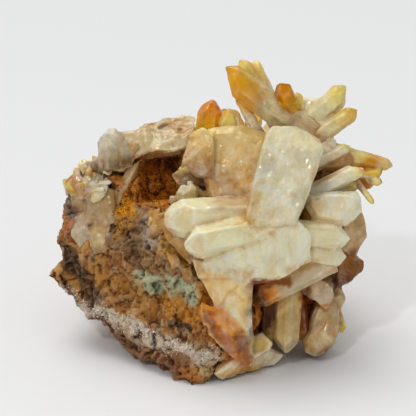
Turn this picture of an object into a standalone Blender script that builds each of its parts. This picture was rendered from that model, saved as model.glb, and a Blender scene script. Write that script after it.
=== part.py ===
# Mango quartz: a broken piece of iron-stained host rock that carries intergrown groups of milky quartz
# crystals, some of them with orange tips. Modelled in millimetres and written out in metres, +Z up, with
# the origin on the flat spot that the specimen rests on.

import math
from itertools import combinations

import bmesh
import bpy
import numpy as np
from mathutils import Matrix, Vector, noise

MM = 0.001                     # metres in a millimetre

# The display side is laid out as it is seen: across to the right, up, and deep (away from the eye), in
# millimetres on the plane through SIGHT_CENTRE. The eye looks down at the specimen by SIGHT_TILT.
SIGHT_TILT = math.radians(22)
SIGHT_DISTANCE = 500.0
SIGHT_CENTRE = Vector((0.0, 0.0, 44.6))
SIGHT_UP = Vector((0.0, math.sin(SIGHT_TILT), math.cos(SIGHT_TILT)))
SIGHT_DEEP = Vector((0.0, math.cos(SIGHT_TILT), -math.sin(SIGHT_TILT)))

MIDDLE = Vector((3.2, 9.75, 0.0))   # the middle of the whole piece in plan, which becomes the origin
GAP = 0.3                      # clearance between a piece and the one that it grows against
FLOOR_GAP = 0.4                # and between the lowest crystals and the floor
PYRAMID_ANGLE = math.radians(51.8)   # between quartz's long axis and the normal of a terminal face
TAPER = math.radians(1.5)      # how far the prism faces lean in towards the tip

ROCK_GRAIN = 1.25              # voxel size of the rough rock before it is thinned
ROCK_FACES = 2950              # faces left in the host rock
RIND_FACES = 800               # and in the rind
ROCK_ROUGHNESS = 1.5           # height of the rock's lumps
LEDGE_PITCH = 5.5              # spacing of the rock's broken ledges
LEDGE_STEP = 1.1               # how far each ledge stands out
LEDGE_NORMAL = Vector((-0.35, -0.25, 0.9)).normalized()

MILKY = (0.62, 0.52, 0.33)
CLEAR = (0.70, 0.62, 0.48)
HONEY = (0.60, 0.36, 0.06)
STAINED = (0.35, 0.19, 0.07)
ROCK = (0.22, 0.11, 0.04)


def seen(across, up, deep):
    """The point that is seen at (across, up) from the display side, this deep."""
    spread = 1 + deep / SIGHT_DISTANCE
    side = Vector((across * spread, 0, 0))
    return SIGHT_CENTRE + side + SIGHT_UP * (up * spread) + SIGHT_DEEP * deep


def clear_scene():
    for thing in list(bpy.data.objects):
        bpy.data.objects.remove(thing)


def finish(name, colour, roughness):
    material = bpy.data.materials.new(name)
    material.use_nodes = True
    shader = material.node_tree.nodes["Principled BSDF"]
    shader.inputs["Base Color"].default_value = (*colour, 1)
    shader.inputs["Roughness"].default_value = roughness
    shader.inputs["Metallic"].default_value = 0.0
    return material


# Convex solids: every crystal and every massive lump is a list of planes, each a normal and a distance.

def corners_of(planes, grow):
    """The corners of the space behind all the planes, each moved out by grow."""
    normals = np.array([normal for normal, _ in planes])
    reach = np.array([distance for _, distance in planes]) + grow
    found = []
    for trio in combinations(range(len(planes)), 3):
        rows = normals[list(trio)]
        if abs(np.linalg.det(rows)) < 1e-5:
            continue
        point = np.linalg.solve(rows, reach[list(trio)])
        if (normals @ point <= reach + 1e-6).all():
            found.append(point)
    return found


def hull_mesh(points):
    """A closed mesh around the points, with flat faces left whole."""
    bm = bmesh.new()
    for point in points:
        bm.verts.new(point)
    bmesh.ops.remove_doubles(bm, verts=bm.verts, dist=0.01)
    hull = bmesh.ops.convex_hull(bm, input=bm.verts)
    inside = {v for v in hull["geom_interior"] + hull["geom_unused"] if isinstance(v, bmesh.types.BMVert)}
    bmesh.ops.delete(bm, geom=list(inside), context="VERTS")
    bmesh.ops.dissolve_limit(bm, angle_limit=math.radians(0.5), verts=bm.verts, edges=bm.edges)
    bmesh.ops.recalc_face_normals(bm, faces=bm.faces)
    mesh = bpy.data.meshes.new("solid")
    bm.to_mesh(mesh)
    bm.free()
    return mesh


def hull_planes(points):
    mesh = hull_mesh(points)
    planes = [(np.array(face.normal), float(np.dot(face.normal, face.center))) for face in mesh.polygons]
    bpy.data.meshes.remove(mesh)
    return planes


def crystal_planes(root, tip, width, flat=1.0, turn=0.0, cuts=(0, 0.22, 0, 0.22, 0, 0.22), taper=TAPER):
    """A quartz crystal from root to tip: six prism faces and six terminal faces.

    width is its breadth from edge to edge across the line of sight. flat is its thickness as a share of a
    regular crystal's. turn spins it about its long axis. cuts raises each terminal face by a share of
    width, starting with the one towards the eye, so that unequal faces make an off-centre point.
    """
    axis = (tip - root).normalized()
    toward_eye = -SIGHT_DEEP
    front = (toward_eye - axis * toward_eye.dot(axis)).normalized()
    side = axis.cross(front)
    planes = [(-axis, -axis.dot(root))]
    for face in range(6):
        angle = math.radians(60 * face)
        reach = 0.433 * width * (flat if face in (0, 3) else 1.0)
        spun = Matrix.Rotation(math.radians(turn), 3, axis)
        outward = spun @ (front * math.cos(angle) + side * math.sin(angle))
        leaning = outward * math.cos(taper) + axis * math.sin(taper)
        shoulder = tip - axis * width * 0.5
        planes.append((leaning, leaning.dot(shoulder) + reach))
        slope = outward * math.sin(PYRAMID_ANGLE) + axis * math.cos(PYRAMID_ANGLE)
        planes.append((slope, slope.dot(tip + axis * cuts[face] * width)))
    return [(np.array(normal), float(distance)) for normal, distance in planes]


def crystal(root, tip, width, **shape):
    return crystal_planes(seen(*root), seen(*tip), width, **shape)


def lump(*points):
    """A massive piece of quartz with flat broken faces, by its corners as they are seen."""
    return hull_planes([seen(*point) for point in points])


def plate(outline, front, lean, thickness, bevel):
    """A flat crystal by the outline of its broad face as it is seen, with bevelled edges.

    front is how deep the broad face is at the height of the sight line, and lean how much deeper it gets
    for each millimetre up.
    """
    middle = Vector((sum(a for a, _ in outline), sum(u for _, u in outline))) / len(outline)
    points = []
    for across, up in outline:
        deep = front + lean * up
        inward = (middle - Vector((across, up))).normalized() * bevel
        inner = (across + inward.x, up + inward.y)
        points += [seen(across, up, deep + bevel), seen(across, up, deep + thickness - bevel)]
        points += [seen(*inner, deep), seen(*inner, deep + thickness)]
    return hull_planes(points)


# Joining and cutting

def helper(mesh):
    thing = bpy.data.objects.new("helper", mesh)
    bpy.context.scene.collection.objects.link(thing)
    return thing


def applied(thing):
    """Replaces the object's mesh by what its modifiers make of it."""
    graph = bpy.context.evaluated_depsgraph_get()
    mesh = bpy.data.meshes.new_from_object(thing.evaluated_get(graph))
    thing.modifiers.clear()
    old, thing.data = thing.data, mesh
    bpy.data.meshes.remove(old)
    return thing


def boolean(thing, others, operation, solver="EXACT"):
    """Joins all the others to the object, or cuts them from it, and removes them."""
    tools = bpy.data.collections.new("tools")
    bpy.context.scene.collection.children.link(tools)
    for other in others:
        bpy.context.scene.collection.objects.unlink(other)
        tools.objects.link(other)
    modifier = thing.modifiers.new(operation.lower(), "BOOLEAN")
    modifier.operation = operation
    modifier.operand_type = "COLLECTION"
    modifier.collection = tools
    modifier.solver = solver
    applied(thing)
    for other in others:
        bpy.data.objects.remove(other)
    bpy.data.collections.remove(tools)
    return thing


def joined(solids, grow=0.0):
    """One object around all these convex solids, each grown by grow."""
    pieces = [helper(hull_mesh(corners_of(planes, grow))) for planes in solids]
    return boolean(pieces[0], pieces[1:], "UNION") if len(pieces) > 1 else pieces[0]


def keep_largest(thing):
    """Drops the crumbs that a cut leaves beside the main body."""
    bm = bmesh.new()
    bm.from_mesh(thing.data)
    bmesh.ops.remove_doubles(bm, verts=bm.verts, dist=0.0005)
    bm.verts.ensure_lookup_table()
    seen_verts, groups = set(), []
    for start in bm.verts:
        if start in seen_verts:
            continue
        group, queue = [], [start]
        seen_verts.add(start)
        while queue:
            vert = queue.pop()
            group.append(vert)
            for edge in vert.link_edges:
                other = edge.other_vert(vert)
                if other not in seen_verts:
                    seen_verts.add(other)
                    queue.append(other)
        groups.append(group)
    groups.sort(key=len)
    for group in groups[:-1]:
        bmesh.ops.delete(bm, geom=group, context="VERTS")
    bm.to_mesh(thing.data)
    bm.free()
    return thing


# Rough bodies: the host rock and the quartz rind are unions of blocks, worn and pitted by fixed noise.

def clumped(position, size):
    """Fixed noise from -1 to 1 that swells in rounded clumps about this size."""
    return noise.fractal(position / size, 0.9, 2.1, 4, noise_basis="PERLIN_ORIGINAL") * 1.6


def roughened(thing, grain, faces, wear):
    """Remeshes the body evenly, moves each point along its normal by wear(point, normal), and thins it."""
    remesh = thing.modifiers.new("grain", "REMESH")
    remesh.mode = "VOXEL"
    remesh.voxel_size = grain
    applied(thing)
    moves = [wear(v.co, v.normal) for v in thing.data.vertices]
    normals = [v.normal.copy() for v in thing.data.vertices]
    for vert, normal, move in zip(thing.data.vertices, normals, moves):
        vert.co += normal * move
    thin = thing.modifiers.new("thin", "DECIMATE")
    thin.ratio = faces / (2 * len(thing.data.polygons))
    thin.use_collapse_triangulate = True
    return applied(thing)


def rock_wear(position, normal):
    lumps = ROCK_ROUGHNESS * clumped(position, 13) + 0.5 * ROCK_ROUGHNESS * clumped(position, 5)
    height = position.dot(LEDGE_NORMAL) + 2.5 * clumped(position, 18)
    step = (height / LEDGE_PITCH) % 1.0
    ledge = LEDGE_STEP * (step if step < 0.8 else 4 * (1 - step))
    pits = noise.voronoi(position / 9)[0][0]
    return lumps + ledge * (1 - abs(normal.z)) - 1.8 * max(0.0, 0.32 - pits) / 0.32 - 0.8


def rind_wear(position, normal):
    waves = math.sin(position.x * 0.9 + 2.5 * clumped(position, 9))
    return 0.7 * clumped(position, 8) + 0.45 * waves - 0.3


# The host rock's blocks, by corners. Hidden corners are given in plain X, Y and Z.
ROCK_BLOCKS = [
    # the main mass
    [
        seen(-4.5, -53.5, -9.4), seen(-12, -50, -2), seen(-22, -45, 5), seen(-30, -40, 8), seen(-39, -32, 9),
        seen(-44.5, -27.5, 10), seen(-46, -12, 12), seen(-43.4, 3, 12), seen(-34, 11, 8), seen(-22, 17, 5),
        seen(-3, 20, 4), seen(-13, -3, -6), seen(-5, -20, -10), seen(-2, -32, -12), seen(6, -47, -11),
        Vector((20, -13, -1)), Vector((22, -5, 20)), Vector((26, -4, 40)), Vector((24, 8, 60)),
        Vector((30, 10, 50)), Vector((-16, 38, 6)), Vector((-36, 30, 14)), Vector((-38, 28, 40)),
        Vector((-8, 40, 48)), Vector((16, 38, 46)), Vector((30, 28, 36)), Vector((28, 26, 5)),
        Vector((-8, 28, -2)), Vector((14, 22, -2)), Vector((-20, 8, -2)),
    ],
    # the part that the crystals on the right stand on
    [
        seen(18, -20, 0), seen(34, 14, 4), seen(40, 4, 6), seen(40, -12, 5), seen(36, -24, 8), seen(33, -38, 14),
        seen(22, 18, 4), seen(20, -38, 8), Vector((30, 26, 10)), Vector((36, 24, 40)), Vector((10, 20, 50)),
    ],
    # the foot of the front corner
    [
        seen(-10, -50, -6), seen(6, -50.5, -8), seen(14, -47, -1), seen(-1, -36, -13), seen(10, -40, -12),
        seen(-12, -40, -4), Vector((8, 0, 10)), Vector((-8, -2, -1)), Vector((10, -4, -1)),
    ],
    # knobs on the left
    [
        seen(-49.5, -21, 10), seen(-48.4, -18, 9), seen(-48, -23, 11), seen(-44, -17, 8), seen(-43, -24, 9),
        seen(-44, -19, 16), seen(-44, -23, 15),
    ],
    [seen(-48, -9.4, 12), seen(-45, -14, 9), seen(-43, -6, 10), seen(-42, -9, 7), seen(-42, -10, 17)],
]

# What is missing from the rock and its rind: the brown vug at the upper left, the window beside it, and
# the undercut hollow over the right foot.
VUG = [
    seen(-19.5, 15.6, -16), seen(-17, 19, -16), seen(-12, 17.6, -16), seen(-6.4, 18.6, -16), seen(-5.4, 14, -16),
    seen(-9, 1, -16), seen(-16, -0.6, -16), seen(-23, 0, -16), seen(-29, 2, -16), seen(-19, 14.6, 11),
    seen(-8, 15.4, 14), seen(-10, 4, 14), seen(-18, 2.4, 11),
]
WINDOW = [
    seen(-7.6, 12, -16), seen(1, 12.4, -16), seen(1, 1, -16), seen(-8, 1, -16), seen(-6, 11, 9), seen(0.6, 11, 9),
    seen(0.6, 2.6, 9), seen(-6, 2.6, 9),
]
HOLLOW_SPACE = [
    seen(14, -22, -24), seen(31, -20, -22), seen(30, -46, -20), seen(14, -46, -20), seen(16, -24, 5),
    seen(28, -24, 6), seen(27, -42, 9), seen(16, -40, 6),
]

RIND_BLOCKS = [
    [
        seen(-33.6, 15.4, 6), seen(-31.6, 19, 5), seen(-29.6, 22.4, 7), seen(-27, 23.6, 6), seen(-24.5, 22.4, 5),
        seen(-23, 13, 1), seen(-31, 10, 1), seen(-29.6, 21, 15), seen(-22, 10, 10), seen(-33.6, 9, 9),
    ],
    [
        seen(-25, 22.6, 5), seen(-22, 24.8, 6), seen(-18, 25.2, 5), seen(-15, 26.8, 7), seen(-11, 26.6, 7),
        seen(-9, 28.4, 8), seen(-6.5, 28.8, 8), seen(-3, 27.6, 7), seen(-3, 19, 0), seen(-9, 17, -2),
        seen(-16, 17.4, -1), seen(-24, 15, 2), seen(-5, 27, 16), seen(-20, 23.4, 16), seen(-8, 15, 10),
        seen(-22, 15, 10),
    ],
    [
        seen(-43.6, 5, 11), seen(-43.6, 8, 12), seen(-40.6, 9.4, 10), seen(-38.4, 11, 9), seen(-38.6, 13.6, 10),
        seen(-36.6, 15.4, 8), seen(-33, 15.8, 7), seen(-29, 5, 2), seen(-34, 1, 4), seen(-40, 2, 8),
        seen(-33, 14, 16), seen(-41, 6, 17), seen(-28, 8, 12),
    ],
]

UPRIGHT = [
    crystal((-1.6, 14, 5), (1.0, 32.5, 3), 7.2, cuts=(0, 0.1, 0.25, 0.1, 0.25, 0)),
    crystal((7.6, 17, 5), (5.0, 29.6, 2.5), 6.0, flat=0.7, cuts=(0.2, 0.3, 0.3, 0, 0, -0.1)),
]

FRONT = [
    # the tall slab
    plate([(17.0, 23), (20.6, 24.4), (26.6, 24.4), (34.2, 20.4), (35.1, 17), (30.8, 6.4), (25, -6), (12, -8),
           (10.4, -3.4), (16, 18.4)],
          front=-17.2, lean=0.2, thickness=7.4, bevel=1.2),
    # the smooth mass behind it
    plate([(-3.4, 20.2), (-2.4, 22.6), (2, 24.2), (6.4, 24.8), (12.6, 24.2), (18, 22.4), (22, 12), (20, -4), (2, -6),
           (0, 3), (-1.2, 11.6)],
          front=-9.6, lean=0.24, thickness=11, bevel=2.2),
    # the crystal on its side that points left, and the one under it
    crystal((14, -2.6, -7), (-14.2, -3.4, -14), 11.6, cuts=(-0.2, 0, 0.2, 0, 0.2, 0)),
    crystal((18, -6.0, -12), (-7.2, -11.4, -18), 9.6, cuts=(0, 0.1, 0.1, 0, 0.2, 0.1)),
    # the lower milky mass and its steep wall down to the foot
    lump((-5, -15, -15.5), (-4, -9, -16), (12, -4, -18), (26, -2.5, -16), (31.2, -8, -12), (30.8, -16, -10),
         (22.8, -20.8, -13.5), (13.2, -21, -16.5), (-3, -21, -15), (-2, -10, -4), (26, -3, -3), (28, -16, -2),
         (0, -24, -5), (14, -24, -4)),
    lump((-3.6, -19, -14.6), (13.4, -19, -17), (13.4, -43, -11), (11.6, -41, -12), (6.6, -34.4, -13.6),
         (1.8, -29.2, -14), (-1, -20, -4), (13, -20, -4), (13, -41, -2), (4, -32, -4)),
    # the yellow-stained crust left of them
    lump((-15.4, -2, -9), (-13, -9, -10.5), (-8.6, -14, -12), (-5.4, -17, -12.5), (-3, -16, -13), (-4, -9, -12),
         (-10, 0, -9), (-12, -4, 0), (-4, -14, -3), (-4, -4, 0)),
    # the pale strip along the foot, and its plates
    lump((1.6, -50, -10), (4.2, -51.8, -9), (8.1, -50.6, -6.6), (12.6, -48.4, -2), (20, -46.7, 0.8),
         (22.4, -43.6, 1), (18, -41, -3), (13, -41.5, -9.4), (10.4, -45.6, -10.4), (4, -42, 0), (16, -40, 6)),
    crystal((10, -47, 2), (20.2, -38.4, -2.5), 6.6, flat=0.6, cuts=(0, 0.3, 0.3, 0, 0, 0)),
    crystal((13, -46, 1), (16.2, -37, -4), 5.6, cuts=(0, 0.3, 0.1, 0, 0.3, 0.1)),
    # small glassy ones that reach over the brown vug
    crystal((3, 7.2, 2), (-11, 9.9, -4), 4.4),
    crystal((-6.6, -2, -5), (-8.4, 7.2, -7), 6.4),
]

CROWN = [
    # the big orange-tipped crystal
    crystal((32.4, 20.8, 3), (4.2, 41.0, -3), 8.8, flat=0.85, turn=12, cuts=(0.05, 0.22, 0.24, 0.05, -0.2, -0.22)),
    # the pale ones behind its tip and the thin stem under it
    crystal((22, 24, 5), (9.6, 44.6, 3), 5.0),
    crystal((22, 24, 6), (13.0, 43.8, 5), 5.2, cuts=(0, 0.3, 0.3, 0, 0.1, 0.1)),
    crystal((16, 21, 1), (8.8, 34, 1), 3.0),
    # the small orange one that faces forward, and a bud beside it
    crystal((27, 25, 4), (21.6, 37.6, -6), 6.0, turn=20),
    crystal((27.8, 25, 5), (26.8, 35.0, 2.5), 3.4),
    # the broad pale crystal behind the slab's corner
    plate([(22.8, 32.8), (25, 33.4), (33.2, 33.2), (35.4, 31), (33.4, 24), (31, 17), (25, 17), (24, 28)],
          front=2, lean=0.1, thickness=5, bevel=1),
    # the two yellowish ones that point right, and what fills the space under them
    crystal((28, 23, 5), (42.0, 36.2, 2), 7.0, cuts=(0, -0.1, 0, 0, 0.15, 0.15)),
    crystal((29, 18.8, 2), (44.9, 29.6, 0), 5.2),
    crystal((30, 19, 6), (38.6, 29.8, 9), 6.4),
    crystal((28, 12, 2), (38.6, 20.6, 1), 6.4),
]

SPRAY = [
    # the honey finger
    crystal((32, 17.6, 4), (55.3, 12.7, 3), 4.0, cuts=(0.1, 0.15, 0.15, 0.1, 0.15, 0.15), taper=math.radians(4)),
    crystal((28, 11, 0), (42.9, 18.6, -1), 4.2),
    # the striated one and the one behind it
    crystal((29, 3.3, -2), (46.6, 12.3, -5), 5.0, cuts=(0, 0.2, 0.2, 0, -0.15, -0.15)),
    crystal((32, 6, 1), (46.2, 7.6, -1), 4.8),
    # small glassy ones
    crystal((38, 8.6, 4), (52.5, 10.8, 2), 3.2),
    crystal((36, 11, 4), (52.5, 7.6, 1), 2.8),
    crystal((34, 9.4, 2), (50.4, 7.4, 2.6), 4.2),
    crystal((30, 13.6, 2), (44, 14.6, 1), 6.4),
]

NEEDLE = [crystal((44.4, 8.2, -1.2), (49.8, 1.1, -2.4), 1.8)]

RIGHT_FACE = [
    # the big rounded one
    plate([(33, 4.4), (37.6, 5.2), (44.6, 5), (46, 3.4), (46.3, -0.8), (43.4, -3.9), (41.2, -5.6), (36, -5), (31, -3),
           (29, 0), (29, 4)], front=-8, lean=0.1, thickness=11, bevel=2.2),
    # the grey prism and the brown crystal under it
    lump((41, -4, -4), (45.8, -0.8, 0), (47, -2, 0), (47.7, -5.2, 0), (47.9, -8.6, 0), (44.2, -14.6, 0),
         (40.4, -12, -4), (36, -2, 6), (40, -2, 8), (44, -12, 8), (34, -10, 2)),
    lump((39.2, -23.6, 0), (38.6, -13, -2), (44.2, -14.2, -1), (46.6, -16, 2), (46.4, -19, 2), (43.2, -21.8, 0),
         (42.2, -22.8, 3), (40, -12, 9), (36, -16, 8), (40, -22, 9)),
    # hexagonal plates
    crystal((24, -7.6, -6), (42.8, -9.2, -7.6), 8.4, flat=0.6, cuts=(0, 0, 0.2, 0, 0.1, 0)),
    crystal((26, -13.2, -5), (41.6, -14.6, -6), 7.2, flat=0.7),
]

FOOT = [
    crystal((31, -16, 9), (32.4, -27.4, -3), 10.2, turn=15, cuts=(-0.1, 0.1, 0, 0.1, 0, 0.1)),
    plate([(30.2, -29), (33.6, -27.4), (37.4, -28.4), (39, -32), (40.4, -34.4), (40.7, -37), (38.6, -40),
           (36.2, -42.4), (33, -44.5), (30.6, -44.2), (28.6, -42.4), (28, -39), (29, -33.6)],
          front=5.5, lean=0.14, thickness=12, bevel=3),
    crystal((35, -18, 12), (39.4, -31, 4), 6.0),
]

HOLLOW = [
    crystal((35, -16.6, -5), (13.9, -29.6, -8.4), 5.0, cuts=(0, 0, 0.1, 0, 0.1, 0.1)),
    crystal((23.6, -20, 0), (23.2, -43.6, -2), 7.4, turn=25),
    crystal((19, -22, 1), (18.2, -40, 1), 4.2),
    crystal((30, -20, 3), (15, -26, 0), 7),
]

BACK = [
    crystal_planes(Vector((8, 14, 40)), Vector((25, 42, 58)), 10.0),
    crystal_planes(Vector((8, 14, 40)), Vector((5, 45, 61)), 12.0, flat=0.7),
    crystal_planes(Vector((8, 14, 40)), Vector((37, 38, 45)), 9.0),
    crystal_planes(Vector((8, 14, 40)), Vector((-14, 44, 54)), 9.0),
    crystal_planes(Vector((8, 14, 40)), Vector((15, 49, 46)), 12.0, flat=0.8),
    crystal_planes(Vector((8, 14, 40)), Vector((30, 45, 36)), 7.5),
    crystal_planes(Vector((8, 14, 38)), Vector((-4, 47, 42)), 8.0),
    crystal_planes(Vector((12, 14, 34)), Vector((41, 28, 28)), 8.0),
]

# Each group keeps clear of the ones before it, and the rock of them all.
GROUPS = [
    ("front_crystals", FRONT, MILKY, 0.3),
    ("upright_mango_point", UPRIGHT, HONEY, 0.2),
    ("crown_crystals", CROWN, HONEY, 0.2),
    ("needle_crystal", NEEDLE, CLEAR, 0.1),
    ("right_spray", SPRAY, CLEAR, 0.2),
    ("right_face_crystals", RIGHT_FACE, MILKY, 0.3),
    ("foot_crystals", FOOT, STAINED, 0.3),
    ("hollow_crystals", HOLLOW, STAINED, 0.25),
    ("back_crystals", BACK, MILKY, 0.3),
]


def boxes_meet(one, other):
    spans = [np.array([v.co for v in thing.data.vertices]) for thing in (one, other)]
    low = np.maximum(*[points.min(axis=0) for points in spans])
    high = np.minimum(*[points.max(axis=0) for points in spans])
    return bool((low < high).all())


def cut_away(thing, sockets, solver="EXACT"):
    """Cuts each socket that reaches the object from it, and leaves the sockets as they are."""
    for socket in sockets:
        if boxes_meet(thing, socket):
            boolean(thing, [helper(socket.data.copy())], "DIFFERENCE", solver)
    return keep_largest(thing)


def grown_copy(thing, by):
    """A copy with every point moved out along its normal."""
    mesh = thing.data.copy()
    normals = [v.normal.copy() for v in mesh.vertices]
    for vert, normal in zip(mesh.vertices, normals):
        vert.co += normal * by
    return helper(mesh)


def named(thing, name, colour, roughness):
    """Turns a helper into a finished node in metres."""
    thing.data.transform(Matrix.Scale(MM, 4) @ Matrix.Translation(-MIDDLE))
    thing.data.update()
    thing.name = thing.data.name = name
    thing.data.materials.clear()
    thing.data.materials.append(finish(name, colour, roughness))
    return thing


def below(level):
    """A block that holds all the space under this level."""
    return helper(hull_mesh([Vector((x, y, z)) for x in (-90, 90) for y in (-90, 90) for z in (-30, level)]))


def main():
    clear_scene()
    made = []
    sockets = [below(FLOOR_GAP)]
    for name, solids, colour, roughness in GROUPS:
        made.append((cut_away(joined(solids), sockets), name, colour, roughness))
        sockets.append(joined(solids, GAP))

    rind = joined([hull_planes(points) for points in RIND_BLOCKS])
    roughened(rind, 1.0, RIND_FACES, rind_wear)
    rind_socket = grown_copy(rind, GAP)
    boolean(rind, [helper(hull_mesh(VUG))], "DIFFERENCE")
    made.append((cut_away(rind, sockets), "quartz_rind", MILKY, 0.45))

    rock = joined([hull_planes(points) for points in ROCK_BLOCKS])
    roughened(rock, ROCK_GRAIN, ROCK_FACES, rock_wear)
    for points in (VUG, WINDOW, HOLLOW_SPACE):
        boolean(rock, [helper(hull_mesh(points))], "DIFFERENCE")
    bpy.data.objects.remove(sockets.pop(0))
    sockets += [below(0.0), rind_socket]
    # the exact solver leaves part of a socket in the rock
    made.append((cut_away(rock, sockets, "MANIFOLD"), "host_rock", ROCK, 0.85))

    for socket in sockets:
        bpy.data.objects.remove(socket)
    for thing, name, colour, roughness in made:
        named(thing, name, colour, roughness)


main()
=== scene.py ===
# Mango quartz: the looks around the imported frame. Lengths in the layout are millimetres.

import math
from itertools import combinations, product

import bmesh
import bpy
import numpy as np
from mathutils import Matrix, Vector


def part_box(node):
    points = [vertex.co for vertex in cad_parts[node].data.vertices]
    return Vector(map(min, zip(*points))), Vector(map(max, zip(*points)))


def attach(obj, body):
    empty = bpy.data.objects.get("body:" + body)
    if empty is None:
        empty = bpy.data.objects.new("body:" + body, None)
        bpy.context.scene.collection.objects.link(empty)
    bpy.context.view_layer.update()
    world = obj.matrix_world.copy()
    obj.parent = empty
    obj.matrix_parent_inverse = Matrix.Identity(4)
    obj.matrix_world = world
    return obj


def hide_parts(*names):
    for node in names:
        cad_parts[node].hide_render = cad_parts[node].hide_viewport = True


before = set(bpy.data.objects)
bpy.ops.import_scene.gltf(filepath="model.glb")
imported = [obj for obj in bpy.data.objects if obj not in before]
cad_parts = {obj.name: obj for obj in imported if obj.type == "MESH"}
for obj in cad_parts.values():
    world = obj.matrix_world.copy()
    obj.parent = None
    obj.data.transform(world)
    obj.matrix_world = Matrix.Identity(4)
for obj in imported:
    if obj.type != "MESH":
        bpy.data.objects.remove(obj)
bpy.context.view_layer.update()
print("frame loaded:", len(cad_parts), "nodes")

mm = 0.001

# the display side, laid out as it is seen: across, up and deep from the middle of the view
view = {
    "tilt": math.radians(22),
    "distance": 500.0,
    "centre": Vector((-3.2, -9.75, 44.6)),
    "lens": 144.2,
    "pixel": 0.3,      # millimetres that one pixel of the 416 by 416 view covers
    "middle": 208.0,
}
viewUp = Vector((0.0, math.sin(view["tilt"]), math.cos(view["tilt"])))
viewDeep = Vector((0.0, math.cos(view["tilt"]), -math.sin(view["tilt"])))


def seen(across, up, deep):
    spread = 1 + deep / view["distance"]
    return view["centre"] + Vector((across * spread, 0, 0)) + viewUp * (up * spread) + viewDeep * deep


def pixelsOf(points):
    # where points show in the view, in pixels, and how deep they are
    away = points - np.array(view["centre"])
    deep = away @ np.array(viewDeep)
    spread = 1 + deep / view["distance"]
    across = away[:, 0] / spread / view["pixel"] + view["middle"]
    down = view["middle"] - away @ np.array(viewUp) / spread / view["pixel"]
    return np.stack([across, down], axis=1), deep


# fixed noise over many points at once, from whole numbers that scramble a place into a value
scramble = {"axes": (73856093, 19349663, 83492791), "seed": 2654435761, "last": 1274126177}


def latticeValue(cells, seed):
    mixed = seed * scramble["seed"]
    for axis, factor in enumerate(scramble["axes"]):
        mixed = mixed ^ (cells[..., axis] * factor)
    mixed = (mixed ^ (mixed >> 13)) * scramble["last"]
    mixed = mixed ^ (mixed >> 16)
    return (mixed & 65535) / 32767.5 - 1.0


def smoothNoise(points, size, seed):
    # from -1 to 1, swelling over about this size
    scaled = points / size
    low = np.floor(scaled).astype(np.int64)
    part = scaled - low
    ease = part * part * part * (part * (part * 6 - 15) + 10)
    total = np.zeros(len(points))
    for z, y, x in product((0, 1), repeat=3):
        step = np.array([x, y, z])
        weight = np.prod(np.where(step, ease, 1 - ease), axis=1)
        total += weight * latticeValue(low + step, seed)
    return total


def layeredNoise(points, size, seed, layers=4, fall=0.5):
    total, height = np.zeros(len(points)), 1.0
    for layer in range(layers):
        total += height * smoothNoise(points, size / 2.07 ** layer, seed + 17 * layer)
        height *= fall
    return total


def manyNoises(count, points, size, seed, layers=4, fall=0.5):
    return np.stack([layeredNoise(points, size, seed + k, layers, fall) for k in range(count)], axis=1)


def brokenCells(points, size, seed):
    # angular lumps: a height that tilts its own way in every cell, and how near the cell's border is
    scaled = points / size
    low = np.floor(scaled).astype(np.int64)
    best = np.full(len(points), 1e9)
    second = best.copy()
    height = np.zeros(len(points))
    for step in product((-1, 0, 1), repeat=3):
        cell = low + np.array(step)
        jitter = np.stack([latticeValue(cell, seed + k) for k in range(3)], axis=1)
        away = scaled - cell - 0.5 - 0.45 * jitter
        reach = np.linalg.norm(away, axis=1)
        closer = reach < best
        second = np.where(closer, best, np.minimum(second, reach))
        best = np.where(closer, reach, best)
        tilt = (away * np.roll(jitter, 1, axis=1)).sum(axis=1)
        height[closer] = (0.45 * latticeValue(cell, seed + 7) + 1.3 * tilt)[closer]
    return height, second - best


# the layout's solids: every crystal and massive lump is the space behind a set of planes

def cornersOf(normals, reach):
    found = []
    for trio in combinations(range(len(normals)), 3):
        rows = normals[list(trio)]
        if abs(np.linalg.det(rows)) < 1e-5:
            continue
        point = np.linalg.solve(rows, reach[list(trio)])
        if (normals @ point <= reach + 1e-6).all():
            found.append(point)
    return found


def hullOf(points):
    bm = bmesh.new()
    for point in points:
        bm.verts.new(point)
    bmesh.ops.remove_doubles(bm, verts=bm.verts, dist=0.01)
    hull = bmesh.ops.convex_hull(bm, input=bm.verts)
    inside = {v for v in hull["geom_interior"] + hull["geom_unused"] if isinstance(v, bmesh.types.BMVert)}
    bmesh.ops.delete(bm, geom=list(inside), context="VERTS")
    bmesh.ops.dissolve_limit(bm, angle_limit=math.radians(0.5), verts=bm.verts, edges=bm.edges)
    bmesh.ops.recalc_face_normals(bm, faces=bm.faces)
    return bm


crystalHabit = {
    "pyramid": math.radians(51.8),
    "taper": math.radians(1.5),
    "halfWidth": 0.433,    # share of the width from the axis to a prism face
    "shoulder": 0.5,       # share of the width from the tip down to where the width is measured
    "cuts": (0, 0.22, 0, 0.22, 0, 0.22),    # how far past the tip each of its faces is set
}


def solidOf(planes, root, tip, axis, look):
    normals, reach, kind = (np.array(part) for part in zip(*planes))
    return {"normals": normals, "reach": reach, "kind": kind, "root": np.array(root), "tip": np.array(tip),
            "axis": np.array(axis), "look": look}


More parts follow.
